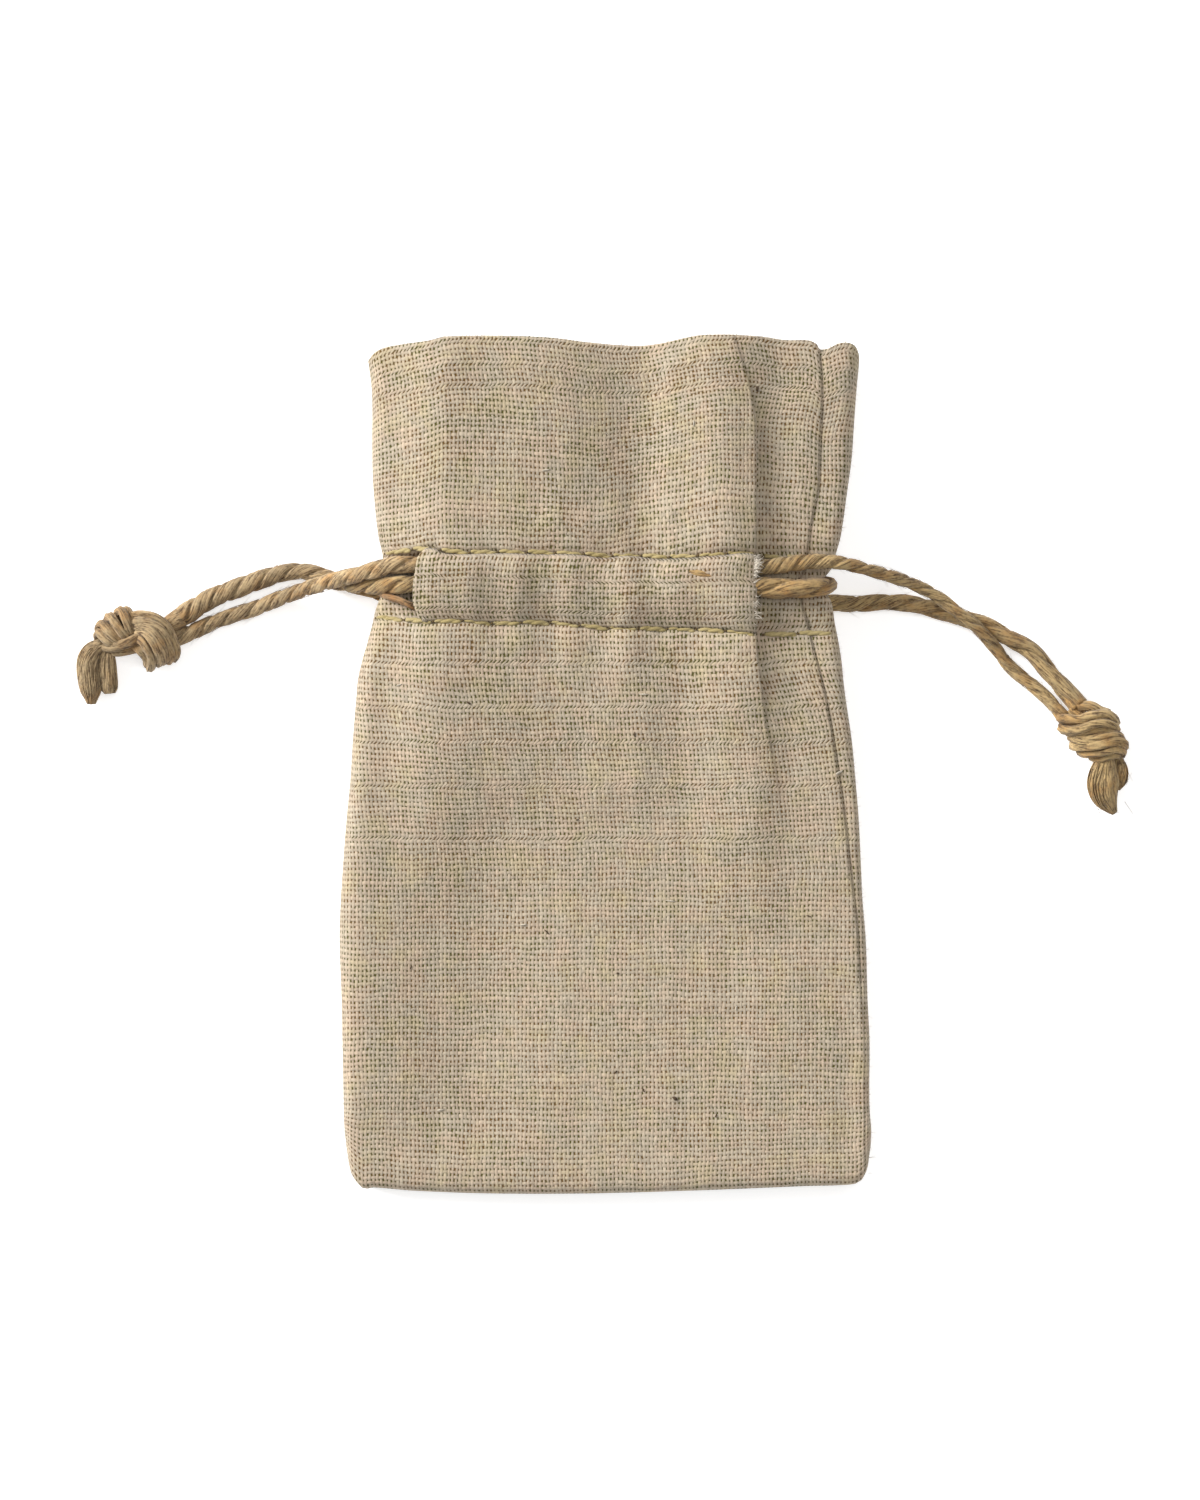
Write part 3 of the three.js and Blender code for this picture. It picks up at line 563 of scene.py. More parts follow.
def smooth_path(points, step):
    """A centripetal curve through points, resampled every step millimetres."""
    knots = [Vector(p) for p in points]
    knots = [2 * knots[0] - knots[1]] + knots + [2 * knots[-1] - knots[-2]]
    dense = []
    for i in range(1, len(knots) - 2):
        p0, p1, p2, p3 = knots[i - 1:i + 3]
        t0 = 0.0
        t1 = t0 + max(TINY, (p1 - p0).length) ** 0.5
        t2 = t1 + max(TINY, (p2 - p1).length) ** 0.5
        t3 = t2 + max(TINY, (p3 - p2).length) ** 0.5
        pieces = max(2, round((p2 - p1).length / step * 2))
        for k in range(pieces):
            t = mix(t1, t2, k / pieces)
            a1 = (t1 - t) / (t1 - t0) * p0 + (t - t0) / (t1 - t0) * p1
            a2 = (t2 - t) / (t2 - t1) * p1 + (t - t1) / (t2 - t1) * p2
            a3 = (t3 - t) / (t3 - t2) * p2 + (t - t2) / (t3 - t2) * p3
            b1 = (t2 - t) / (t2 - t0) * a1 + (t - t0) / (t2 - t0) * a2
            b2 = (t3 - t) / (t3 - t1) * a2 + (t - t1) / (t3 - t1) * a3
            dense.append((t2 - t) / (t2 - t1) * b1 + (t - t1) / (t2 - t1) * b2)
    dense.append(knots[-2])
    lengths = [0.0]
    for a, b in zip(dense, dense[1:]):
        lengths.append(lengths[-1] + (b - a).length)
    count = max(2, round(lengths[-1] / step) + 1)
    path = []
    i = 0
    for k in range(count):
        at = lengths[-1] * k / (count - 1)
        while i < len(lengths) - 2 and lengths[i + 1] < at:
            i += 1
        t = (at - lengths[i]) / max(TINY, lengths[i + 1] - lengths[i])
        path.append(dense[i].lerp(dense[i + 1], t))
    return path


def frames_along(path):
    """Two directions square to the path at each point, without twist."""
    tangents = []
    for i in range(len(path)):
        a = path[max(0, i - 1)]
        b = path[min(len(path) - 1, i + 1)]
        tangents.append((b - a).normalized())
    up = Vector((0, 0, 1))
    side = up - tangents[0] * up.dot(tangents[0])
    if side.length < 0.1:
        side = Vector((1, 0, 0)) - tangents[0] * tangents[0].x
    side.normalize()
    result = []
    for tangent in tangents:
        side = side - tangent * side.dot(tangent)
        side.normalize()
        result.append((side.copy(), tangent.cross(side)))
    return result


class Builder:
    """Collects tubes into one mesh."""

    def __init__(self):
        self.vertices = []
        self.faces = []
        self.uvs = []

    def skin(self, base, rows, sides):
        """Joins the rows of points since base into a tube, and closes its two ends."""
        for face in grid_faces(rows, sides, closed=True):
            self.faces.append(tuple(base + v for v in face))
        end = base + (rows - 1) * sides
        self.faces.append(tuple(base + k for k in reversed(range(sides))))
        self.faces.append(tuple(end + k for k in range(sides)))

    def tube(self, path, radii, sides, squash=1.0, shift=0.0):
        """A closed tube along path, with its own radius at each point."""
        base = len(self.vertices)
        at = shift
        for i, (point, (side, other)) in enumerate(zip(path, frames_along(path))):
            if i:
                at += (point - path[i - 1]).length
            for k in range(sides):
                a = 2 * math.pi * k / sides
                offset = side * (math.cos(a) * radii[i] * squash) + other * (math.sin(a) * radii[i])
                self.vertices.append(tuple(point + offset))
                around = abs(2 * k / sides - 1)
                self.uvs.append((around * math.pi * max(radii), at))
        self.skin(base, len(path), sides)

    def fibre_ply(self, path, radii, sides, seed, ridge=0.16, wind=0.0, squash=1.0):
        """A closed tube with ridges along it, as a bundle of fibres has. wind turns them round it."""
        base = len(self.vertices)
        at = 0.0
        for i, (point, (side, other)) in enumerate(zip(path, frames_along(path))):
            if i:
                at += (point - path[i - 1]).length
            for k in range(sides):
                a = 2 * math.pi * k / sides
                lobe = Vector((math.cos(a) * 1.3, math.sin(a) * 1.3 + seed, at * 0.09))
                fine = Vector((math.cos(a) * 3.4 + seed, math.sin(a) * 3.4, at * 0.22))
                r = radii[i] * (1 + ridge * noise.noise(lobe) * 1.3 + ridge * noise.noise(fine))
                b = a + wind * at
                offset = side * (math.cos(b) * r * squash) + other * (math.sin(b) * r)
                self.vertices.append(tuple(point + offset))
                around = abs(2 * k / sides - 1)
                self.uvs.append((around * math.pi * max(radii) + seed * 3, at + seed * 7))
        self.skin(base, len(path), sides)

    def piece(self, name, material, slot):
        return new_piece(name, self.vertices, self.faces, material, self.uvs)


def ply_path(path, frames, radius, lay, phase):
    """One ply's middle line, winding left-handed round the middle of its thread."""
    result = []
    turn = phase
    for i, (point, (side, other)) in enumerate(zip(path, frames)):
        if i:
            turn -= 2 * math.pi * (point - path[i - 1]).length / lay
        result.append(point + side * (math.cos(turn) * radius) + other * (math.sin(turn) * radius))
    return result


# Materials

class Value:
    """What comes out of a node. It can be added, multiplied and so on like a number."""

    def __init__(self, graph, socket):
        self.graph = graph
        self.socket = socket

    def __add__(self, other):
        return self.graph.math("ADD", self, other)

    def __radd__(self, other):
        return self.graph.math("ADD", other, self)

    def __sub__(self, other):
        return self.graph.math("SUBTRACT", self, other)

    def __rsub__(self, other):
        return self.graph.math("SUBTRACT", other, self)

    def __mul__(self, other):
        return self.graph.math("MULTIPLY", self, other)

    def __truediv__(self, other):
        return self.graph.math("DIVIDE", self, other)


class Graph:
    """Short names for wiring a material's nodes."""

    def __init__(self, tree):
        self.tree = tree

    def node(self, kind, **settings):
        made = self.tree.nodes.new(kind)
        for name, value in settings.items():
            setattr(made, name, value)
        return made

    def out(self, made, which=0):
        return Value(self, made.outputs[which])

    def feed(self, socket, value):
        if isinstance(value, Value):
            self.tree.links.new(value.socket, socket)
        else:
            socket.default_value = value

    def split(self, vector):
        """The x and y of a vector."""
        made = self.node("ShaderNodeSeparateXYZ")
        self.feed(made.inputs[0], vector)
        return self.out(made, 0), self.out(made, 1)

    def cloth(self):
        """The place on the cloth or along the cord in millimetres, whole and as its two parts."""
        place = self.out(self.node("ShaderNodeUVMap", uv_map="cloth"))
        return place, *self.split(place)

    def place(self):
        """The place in space, in metres."""
        return self.out(self.node("ShaderNodeNewGeometry"), "Position")

    def math(self, operation, *values):
        made = self.node("ShaderNodeMath", operation=operation)
        for socket, value in zip(made.inputs, values):
            self.feed(socket, value)
        return self.out(made)

    def noise(self, vector, scale, detail=2.0, roughness=0.5):
        made = self.node("ShaderNodeTexNoise")
        self.feed(made.inputs["Vector"], vector)
        made.inputs["Scale"].default_value = scale
        made.inputs["Detail"].default_value = detail
        made.inputs["Roughness"].default_value = roughness
        return self.out(made, "Fac")

    def random(self, vector):
        made = self.node("ShaderNodeTexWhiteNoise", noise_dimensions="2D")
        self.feed(made.inputs["Vector"], vector)
        return self.out(made, "Value")

    def join(self, x, y, z=0.0):
        made = self.node("ShaderNodeCombineXYZ")
        for socket, value in zip(made.inputs, (x, y, z)):
            self.feed(socket, value)
        return self.out(made)

    def blend(self, factor, a, b, mode="MIX"):
        made = self.node("ShaderNodeMix", data_type="RGBA", blend_type=mode)
        self.feed(made.inputs["Factor"], factor)
        self.feed(made.inputs[6], a if isinstance(a, Value) else (*a, 1.0))
        self.feed(made.inputs[7], b if isinstance(b, Value) else (*b, 1.0))
        return self.out(made, 2)

    def shaded(self, colour, by):
        return self.blend(1.0, colour, self.join(by, by, by), mode="MULTIPLY")

    def steps(self, value, low, high, to_low=0.0, to_high=1.0):
        made = self.node("ShaderNodeMapRange", interpolation_type="SMOOTHSTEP")
        for name, number in (("Value", value), ("From Min", low), ("From Max", high),
                             ("To Min", to_low), ("To Max", to_high)):
            self.feed(made.inputs[name], number)
        return self.out(made)

    def bump(self, height, distance, strength=1.0):
        made = self.node("ShaderNodeBump")
        made.inputs["Strength"].default_value = strength
        made.inputs["Distance"].default_value = distance
        self.feed(made.inputs["Height"], height)
        return self.out(made)


def new_material(name, roughness, sheen=0.0, specular=0.25):
    material = bpy.data.materials.new(name)
    material.use_nodes = True
    shader = material.node_tree.nodes["Principled BSDF"]
    shader.inputs["Roughness"].default_value = roughness
    shader.inputs["Specular IOR Level"].default_value = specular
    shader.inputs["Sheen Weight"].default_value = sheen
    shader.inputs["Sheen Roughness"].default_value = 0.6
    return material, Graph(material.node_tree), shader


def tinted(colour, factors):
    return tuple(c * k for c, k in zip(colour, factors))


def linen_material(name="linen weave", open_by=0.0):
    """An open plain weave: threads over and under each other, of uneven thickness and tone, with
    painted shade between them and on their low parts, and painted highlight on their raised and thick
    parts. It is laid out in the millimetres of the cloth's own UVs."""
    settings = bpy.context.scene.linen_bag.linen
    material, graph, shader = new_material(name, roughness=0.92, sheen=0.1, specular=0.12)
    cloth, across, down = graph.cloth()

    # The threads wander a little
    u = across + (graph.noise(cloth, 0.11, 1.0) - 0.5) * 0.8
    u = u + (graph.noise(cloth, 0.55, 1.0) - 0.5) * 0.14
    v = down + (graph.noise(graph.join(down, across, 4.0), 0.13, 1.0) - 0.5)
    v = v + (graph.noise(graph.join(down, across, 9.0), 0.6, 1.0) - 0.5) * 0.18
    u = u / (settings.pitch_across / MM)
    v = v / (settings.pitch_down / MM)

    def thread(cell, along, seed, least):
        """Number, tone, half width, distance from its middle and thickness of a thread at a place."""
        number = graph.math("FLOOR", cell)
        tone = graph.random(graph.join(number, seed))
        own = number * 3.7
        slub = graph.noise(graph.join(own, along * 0.16, seed), 1.0, 2.0)
        knob = graph.noise(graph.join(own, along * 0.95, seed + 3.0), 1.0, 1.0)
        wander = graph.noise(graph.join(own, along * 0.5, seed + 6.0), 1.0, 1.0)
        away = graph.math("ABSOLUTE", cell - number - (0.32 + wander * 0.36)) * 2.0
        half = least + slub * 0.38 + tone * 0.10 + knob * 0.30
        return number, tone, half, away, knob

    warp_number, warp_tone, warp_half, warp_away, warp_knob = thread(u, v, 1.7, 0.33)
    weft_number, weft_tone, weft_half, weft_away, weft_knob = thread(v, u, 8.3, 0.24)

    # Round threads that pass over and under each other
    def wave(along, number):
        """Above 0 where a thread passes over the next one across it, below 0 where it passes under."""
        side = 1.0 - graph.math("FLOORED_MODULO", number, 2.0) * 2.0
        return graph.math("SINE", along * math.pi) * side

    def body(away, half):
        """1 along a thread's middle, falling off to its edges."""
        return 1.0 - graph.math("POWER", away / half, 2.4)

    def top(own_body, height):
        """The thread's upper surface, and well below the cloth outside the thread."""
        return graph.math("MULTIPLY_ADD", graph.steps(own_body, -0.25, 0.1), height + 1.0, -1.0)

    warp_body = body(warp_away, warp_half)
    weft_body = body(weft_away, weft_half)
    warp_top = top(warp_body, warp_body * 0.55 + wave(v, warp_number) * 0.30)
    weft_top = top(weft_body, weft_body * 0.55 - wave(u, weft_number) * 0.30)
    height = graph.math("MAXIMUM", warp_top, weft_top)
    on_warp = graph.steps(warp_top - weft_top, -0.12, 0.12)

    # Fine fibres along each thread
    hairs_warp = graph.noise(graph.join(across * 9.0, down * 1.3), 1.6, 2.0)
    hairs_weft = graph.noise(graph.join(across * 1.3, down * 9.0, 5.0), 1.6, 2.0)
    hairs = hairs_warp * on_warp + hairs_weft * (1.0 - on_warp)

    # Colour: tone of each thread, patches of tint, painted shade between the threads and painted
    # highlight on their raised and thick parts
    tone = graph.blend(on_warp, weft_tone, warp_tone)
    knobs = graph.blend(on_warp, weft_knob, warp_knob)
    colour = tuple(settings.thread)
    pink = tinted(colour, (1.03, 0.985, 1.0))
    straw = tinted(colour, (0.99, 1.0, 0.88))
    stone = tinted(colour, (0.96, 0.99, 1.03))
    patch = graph.noise(cloth, 0.22, 3.0, 0.7)
    patch_two = graph.noise(graph.join(down, across, 21.0), 0.25, 3.0, 0.7)
    threads = graph.blend(graph.steps(patch, 0.40, 0.64), stone, pink)
    threads = graph.blend(graph.steps(patch_two, 0.46, 0.70) * 0.8, threads, straw)
    # Painted highlight: thick places (knobs) and the raised parts of each thread (height) are made
    # lighter, so the low parts read as painted shade
    light = 0.455 + tone * 0.16 + knobs * 0.55
    light = light + graph.math("MAXIMUM", height, 0.0) * 0.26 + (hairs - 0.5) * 0.55
    # Painted shade: the colour seen between the threads stands for the shaded layer behind them, in two
    # hues
    gap = tuple(settings.gap)
    olive_gap_shade = tinted(gap, (0.62, 1.02, 0.6))
    gap_shades = graph.blend(graph.steps(graph.noise(cloth, 0.16, 2.0), 0.46, 0.56), olive_gap_shade, gap)

    # How far the threads fill the cloth: less in some places, towards the mouth and by chance
    fill = graph.steps(graph.noise(cloth, 0.07, 2.0), 0.35, 0.65, 0.10, -0.10)
    fill = fill + graph.steps(down, 50.0, 84.0, 0.05, -0.08) + -open_by
    hole = graph.random(graph.join(graph.math("FLOOR", u + 0.5), graph.math("FLOOR", v + 0.5), 31.0))
    fill = fill + (hole - 0.55) * 0.55
    cover = graph.steps(height + fill, -0.44, 0.34)
    surface = graph.blend(cover, gap_shades, graph.shaded(threads, light))
    graph.feed(shader.inputs["Base Color"], surface)

    relief = graph.math("MAXIMUM", height, -0.7) + hairs * 0.25
    graph.feed(shader.inputs["Normal"], graph.bump(relief, 0.12 * MM, 0.8))
    return material


PALE_FROM = -52.0  # along X, where the left strands grow paler
PALE_TO = -38.0
REDDISH = (1.15, 0.95, 0.84)


def jute_material(name, tint=(1.0, 1.0, 1.0), pale_end=1.0):
    """Golden-brown bast fibres that lie along a ply, slightly wound. pale_end is how much lighter
    they are where a strand comes out of the bag's left side."""
    settings = bpy.context.scene.linen_bag.jute
    material, graph, shader = new_material(name, roughness=0.78, sheen=0.12, specular=0.3)
    around, along = graph.cloth()[1:]
    place = graph.place()
    wound = around + along * 0.16
    fibres = graph.noise(graph.join(wound * 6.5, along * 0.6), 1.0, 3.0, 0.65)
    strands = graph.noise(graph.join(wound * 3.0, along * 0.35, 7.0), 1.0, 2.0)
    value = fibres * 0.46 + strands * 0.40 + graph.noise(place, 2300.0, 1.0) * 0.14
    light = tinted(settings.light, tint)
    amber = tinted(light, (0.84, 0.70, 0.54))
    grey = tinted(light, (0.76, 0.80, 0.84))
    base = graph.blend(graph.steps(graph.noise(place, 230.0, 2.0), 0.42, 0.66), light, amber)
    base = graph.blend(graph.steps(graph.noise(place, 900.0, 2.0), 0.45, 0.72) * 0.7, base, grey)
    own_tone = graph.noise(graph.join(around * 0.3, along * 0.05, 13.0), 1.0, 2.0)
    paler = graph.steps(graph.split(place)[0], PALE_FROM * MM, PALE_TO * MM, 1.0, pale_end)
    base = graph.shaded(base, graph.steps(own_tone, 0.35, 0.65, 0.84, 1.14) * paler)
    # Painted shade: where the fibre pattern is low, the grooves between the fibres take the dark colour
    surface = graph.blend(graph.steps(value, 0.38, 0.56), tuple(settings.dark), base)
    graph.feed(shader.inputs["Base Color"], surface)
    graph.feed(shader.inputs["Normal"], graph.bump(value, 0.30 * MM))
    return material


def thread_material():
    """The ochre sewing thread, with painted shade between its fibres."""
    base = tuple(bpy.context.scene.linen_bag.stitches.colour)
    material, graph, shader = new_material("ochre sewing thread", roughness=0.7, sheen=0.2, specular=0.3)
    around, along = graph.cloth()[1:]
    fibres = graph.noise(graph.join(around * 7.0 + along * 3.0, along * 0.8), 1.0, 2.0)
    pale = tinted(base, (1.10, 1.12, 1.25))
    deep = tinted(base, (0.60, 0.57, 0.46))
    surface = graph.blend(graph.steps(graph.noise(graph.place(), 260.0, 1.0), 0.4, 0.62), base, pale)
    # Painted shade: where the fibre pattern is low, the grooves between the thread's fibres are darker
    surface = graph.blend(graph.steps(fibres, 0.25, 0.55), deep, surface)
    graph.feed(shader.inputs["Base Color"], surface)
    graph.feed(shader.inputs["Normal"], graph.bump(fibres, 0.1 * MM, 0.7))
    return material


def plain_material(name, colour):
    """Very small things: a hair or a needle hole, with a slight change of tone."""
    material, graph, shader = new_material(name, roughness=0.9, sheen=0.1)
    tone = graph.steps(graph.noise(graph.place(), 700.0, 1.0), 0.35, 0.65)
    graph.feed(shader.inputs["Base Color"], graph.blend(tone, tinted(colour, (0.72, 0.72, 0.72)), colour))
    return material


# The cloth

ROW_STEP = 0.66  # between rows of points
LEFT_COLUMNS = 13
FRONT_COLUMNS = 82
RECESS_COLUMNS = 12
STRIP_COLUMNS = 10
BACK_COLUMNS = 34
BACK_ROLL_COLUMNS = 4
PLEAT_SPREAD = 0.12  # between two columns of the pleat's section where the pleat is weak
HEM_TURN = 0.55  # radius of the turned rim of the mouth
HEM_DEPTH = 22.0  # how far the turned-in cloth goes down inside
HEM_ROWS = 12


def waist(x, y):
    """1 where the cords press on the neck's inner layers, 0 outside the two rows of stitches."""
    u = abs(2 * channel_place(x, y) - 1)
    return (1 - u ** 4) ** 0.8 if u < 1 else 0.0


def drawn_in(y, half):
    """How far a cord that goes round the neck moves the cloth inwards at its sides."""
    lane = NECK_LANE_LEFT if half < 0 else NECK_LANE_RIGHT
    edge = left_side(y) if half < 0 else right_side(y)
    neck = NECK_LEFT if half < 0 else NECK_RIGHT
    return (neck - edge) * math.exp(-((y - lane) / NECK_LANE_WIDTH) ** 2) * abs(half) ** 6


def front_points(y):
    """The front's points across the bag at height y, from the left edge to the right: (x, z)."""
    left = left_side(y)
    right = right_side(y)
    seam = min(seam_line(y), right - 0.5)
    pleat = pleat_line(y)
    strength = pleat_strength(y)
    points = []

    def add(x, drop=0.0, dz=0.0):
        points.append((x, front_z(x, y) - drop + dz))

    for k in range(LEFT_COLUMNS):
        a = math.pi / 2 * k / LEFT_COLUMNS
        add(left + (SHOULDER_LEFT - left) * (1 - math.cos(a)))
    count = len(PLEAT_SECTION)
    spread = PLEAT_SPREAD * (count - 1)
    start = pleat - spread / 2
    for k in range(FRONT_COLUMNS):
        add(mix(SHOULDER_LEFT, start, k / FRONT_COLUMNS))
    for k, (dx, dz) in enumerate(PLEAT_SECTION):
        x = start + spread * k / (count - 1)
        gentle = PLEAT_DEPTH * smooth(k / (count - 1)) * strength
        turned_under = smooth(strength * 1.6)
        shift = (dx - PLEAT_SPREAD * k + spread / 2) * turned_under * 0.9
        points.append((x + shift, front_z(x, y) + mix(-gentle, dz * strength, turned_under)))
    end = start + spread
    for k in range(1, RECESS_COLUMNS + 1):
        x = mix(end + 0.3, seam - 0.4, k / (RECESS_COLUMNS + 1))
        deep = mix(PLEAT_DEPTH, RECESS_END, k / (RECESS_COLUMNS + 1))
        add(x, drop=deep * strength * across_front(x, y))
    recess_drop = RECESS_END * strength
    seam_strength = 1.0 if seam < right - 1.2 else 0.35
    if 0 < channel_place(seam, y) < 1:
        seam_strength *= 1.7
    for dx, dz in SEAM_SECTION:
        x = min(seam + dx, right - 0.1)
        add(x, drop=recess_drop * across_front(x, y), dz=dz * seam_strength)
    for k in range(1, STRIP_COLUMNS + 1):
        a = math.pi / 2 * k / STRIP_COLUMNS
        x = mix(min(seam + 0.5, right - 0.1), right, math.sin(a))
        add(x, drop=(recess_drop + SEAM_STEP) * across_front(x, y))
    return points


def ring(y, inset=0.0):
    """All points round the bag at height y, front then back, as (x, y, z, on the front)."""
    edge = edge_height(y)
    left = left_side(y)
    right = right_side(y)
    points = []
    for x, z in front_points(y):
        squeeze = waist(x, y)
        z = mix(z, min(z, NECK_FRONT), squeeze)
        points.append([x, z, True])
    back = back_height(y)
    for k in range(1, BACK_ROLL_COLUMNS + 1):
        a = math.pi / 2 * k / BACK_ROLL_COLUMNS
        x = right - BACK_ROLL * (1 - math.cos(a))
        points.append([x, mix(edge, back, math.sin(a)), False])
    for k in range(1, BACK_COLUMNS):
        x = mix(right - BACK_ROLL, left + BACK_ROLL, k / BACK_COLUMNS)
        points.append([x, back + 0.12 * abs(noise.noise(Vector((x * 0.1, y * 0.08, 31.0)))), False])
    for k in range(BACK_ROLL_COLUMNS):
        a = math.pi / 2 * k / BACK_ROLL_COLUMNS
        x = left + BACK_ROLL * (1 - math.sin(a))
        points.append([x, mix(back, edge, 1 - math.cos(a)), False])
    middle = (left + right) / 2
    result = []
    for x, z, on_front in points:
        squeeze = waist(x, y)
        if squeeze:
            z = mix(z, max(z, NECK_BACK), squeeze) if not on_front else z
        x = x + drawn_in(y, (x - middle) / ((right - left) / 2))
        if inset:
            half = (x - middle) / ((right - left) / 2)
            x = x - math.copysign(min(abs(half) ** 8, 1) * inset * 1.2, half)
            level = (z - edge) / max(0.5, (front_height(y) if on_front else back) - edge)
            z = z - inset * min(1, abs(level)) if on_front else z + inset * min(1, abs(level))
        result.append((x, y, z, on_front))
    return result


def cloth_rows():
    """Heights and insets of the rows: up the outside, over the rim, and down the turned-in hem."""
    count = round((MOUTH_Y - BOTTOM_Y) / ROW_STEP)
    rows = []
    for k in range(count + 1):
        rows.append((mix(BOTTOM_Y + 0.15, MOUTH_Y - HEM_TURN, k / count), 0.0, 0.0))
    for angle in (30, 60, 90, 120, 150, 180):
        a = math.radians(angle)
        rows.append((MOUTH_Y - HEM_TURN, HEM_TURN * (1 - math.cos(a)), HEM_TURN * math.sin(a)))
    for k in range(1, HEM_ROWS + 1):
        rows.append((MOUTH_Y - HEM_TURN - HEM_DEPTH * k / HEM_ROWS, 2 * HEM_TURN, 0.0))
    return rows


def carry_weave_on(mesh, columns):
    """Carries the weave on over the strip that closes the bag's left side."""
    layer = mesh.uv_layers["cloth"].data
    for face in mesh.polygons:
        corners = {mesh.loops[i].vertex_index: i for i in face.loop_indices}
        for vertex, loop in corners.items():
            mate = vertex + columns - 1
            if vertex % columns == 0 and mate in corners:
                reach = (mesh.vertices[vertex].co - mesh.vertices[mate].co).length / MM
                layer[loop].uv[0] = layer[corners[mate]].uv[0] + reach


def lengths_along(row):
    """How far each point of a row is from its first one, along the cloth."""
    along = [0.0]
    for a, b in zip(row, row[1:]):
        along.append(along[-1] + math.hypot(b[0] - a[0], b[2] - a[2]))
    return along


def make_bag_cloth(material):
    """Both panels and the turned-in hem as one sheet, closed at the bottom."""
    vertices = []
    uvs = []
    rows = cloth_rows()
    down = 0.0
    previous = None
    for y, inset, rise in rows:
        if previous is not None:
            down += math.hypot(y + rise - previous[0] - previous[2], inset - previous[1])
        previous = (y, inset, rise)
        points = ring(y, inset)
        columns = len(points)
        row = [(x, py + rise + lip_wave(x, y, front), z) for x, py, z, front in points]
        middle = min(range(columns), key=lambda i: abs(row[i][0]) + (0 if points[i][3] else 1000))
        along = lengths_along(row)
        for point, reach in zip(row, along):
            vertices.append(point)
            uvs.append((reach - along[middle], down + weft_slant(point[0], y)))
    faces = grid_faces(len(rows), columns, closed=True)
    low = 0
    high = columns - 1
    while high - low > 1:
        if vertices[low + 1][0] < vertices[high - 1][0]:
            faces.append((low, high, low + 1))
            low += 1
        else:
            faces.append((low, high, high - 1))
            high -= 1
    piece = new_piece("bag_linen", vertices, faces, material, uvs)
    carry_weave_on(piece.data, columns)
    return thicken(piece)


# How the crosswise threads slope on the front: x, y, slope up to the right, reach in x and y

SLANTS = [
    (-31.0, 48.0, 0.20, 7.0, 16.0),
    (-12.0, 46.0, -0.05, 9.0, 14.0),
    (8.0, 44.0, 0.17, 9.0, 16.0),
    (30.0, 44.0, -0.10, 6.0, 14.0),
    (-31.0, 8.0, -0.10, 8.0, 12.0),
    (28.0, 6.0, 0.10, 8.0, 16.0),
]


def weft_slant(x, y):
    """Moves the crosswise threads along the cloth where it has been drawn askew."""
    total = 0.0
    for mid_x, mid_y, slope, reach_x, reach_y in SLANTS:
        across = max(-reach_x, min(reach_x, x - mid_x))
        total -= slope * across * math.exp(-((y - mid_y) / reach_y) ** 2)
    return total


def channel_surface(x, place):
    """Outer surface of the channel's front layer at x, place from 0 to 1 between its stitch rows."""
    y = mix(lower_row(x), upper_row(x), place)
    puff = (CHANNEL_PUFF + hump(x)) * channel_profile(place)
    return y, front_z(x, y) + puff


def make_channel_front(material):
    """The front layer of the channel: turned in at the left end, frayed at the right one."""
    columns = 84
    rows = 26
    turn = [(0.55, -0.95), (0.1, -0.85), (-0.22, -0.5), (-0.2, -0.15), (0.05, 0.04)]
    vertices = []
    uvs = []
    for r in range(rows + 1):
        place = mix(0.012, 0.988, r / rows)
        corner = 2.6 * max(0.0, abs(2 * place - 1) - 0.45) ** 2
        left = CHANNEL_LEFT + corner + channel_end(place)
        right = CHANNEL_RIGHT + 0.14 * noise.noise(Vector((r * 0.9, 4.2, 0.0)))
        start_y, start_z = channel_surface(left + 0.6, place)
        row = []
        for dx, dz in turn:
            lift = min(1.0, 1.3 * channel_profile(place) + 0.2)
            row.append((left + dx, start_y, start_z + dz * lift))
        for c in range(columns + 1):
            x = mix(left + 0.6, right, c / columns)
            y, z = channel_surface(x, place)
            bend = smooth((x - (right - 1.1)) / 1.1)
            row.append((x, y, z - 0.35 * bend * bend))
        along = lengths_along(row)
        middle = min(range(len(row)), key=lambda i: abs(row[i][0]))
        for point, reach in zip(row, along):
            vertices.append(point)
            uvs.append((reach - along[middle], point[1] - BOTTOM_Y + 0.5 * channel_profile(place)))
    faces = grid_faces(rows + 1, len(vertices) // (rows + 1))
    piece = new_piece("channel_front", vertices, faces, material, uvs)
    return thicken(piece)


def make_channel_back(material):
    """The rear layer of the channel, on the surface that the bag lies on."""
    columns = 40
    rows = 20
    vertices = []
    uvs = []
    for r in range(rows + 1):
        place = mix(-0.02, 1.02, r / rows)
        for c in range(columns + 1):
            x = mix(BACK_CHANNEL_RIGHT, BACK_CHANNEL_LEFT, c / columns)
            y = mix(lower_row(x), upper_row(x), place)
            z = mix(back_height(y), 0.1, channel_profile(place))
            wave = 0.12 * abs(noise.noise(Vector((x * 0.25, y * 0.1, 17.0)))) * channel_profile(place)
            vertices.append((x, y, z + wave))
            uvs.append((60 - x, y - BOTTOM_Y))
    faces = grid_faces(rows + 1, columns + 1)
    piece = new_piece("channel_back", vertices, faces, material, uvs)
    return thicken(piece)


# Stitches

STITCH_PLIES = 2
STITCH_STEPS = 16
STITCH_LAY = 3.4
STITCH_GAP = 0.5  # between two stitches at their hole
STITCH_DEPTH = 0.14  # how far a stitch lies in its groove
STITCH_ARCH = 0.12  # how far a stitch stands over the cloth between its two holes


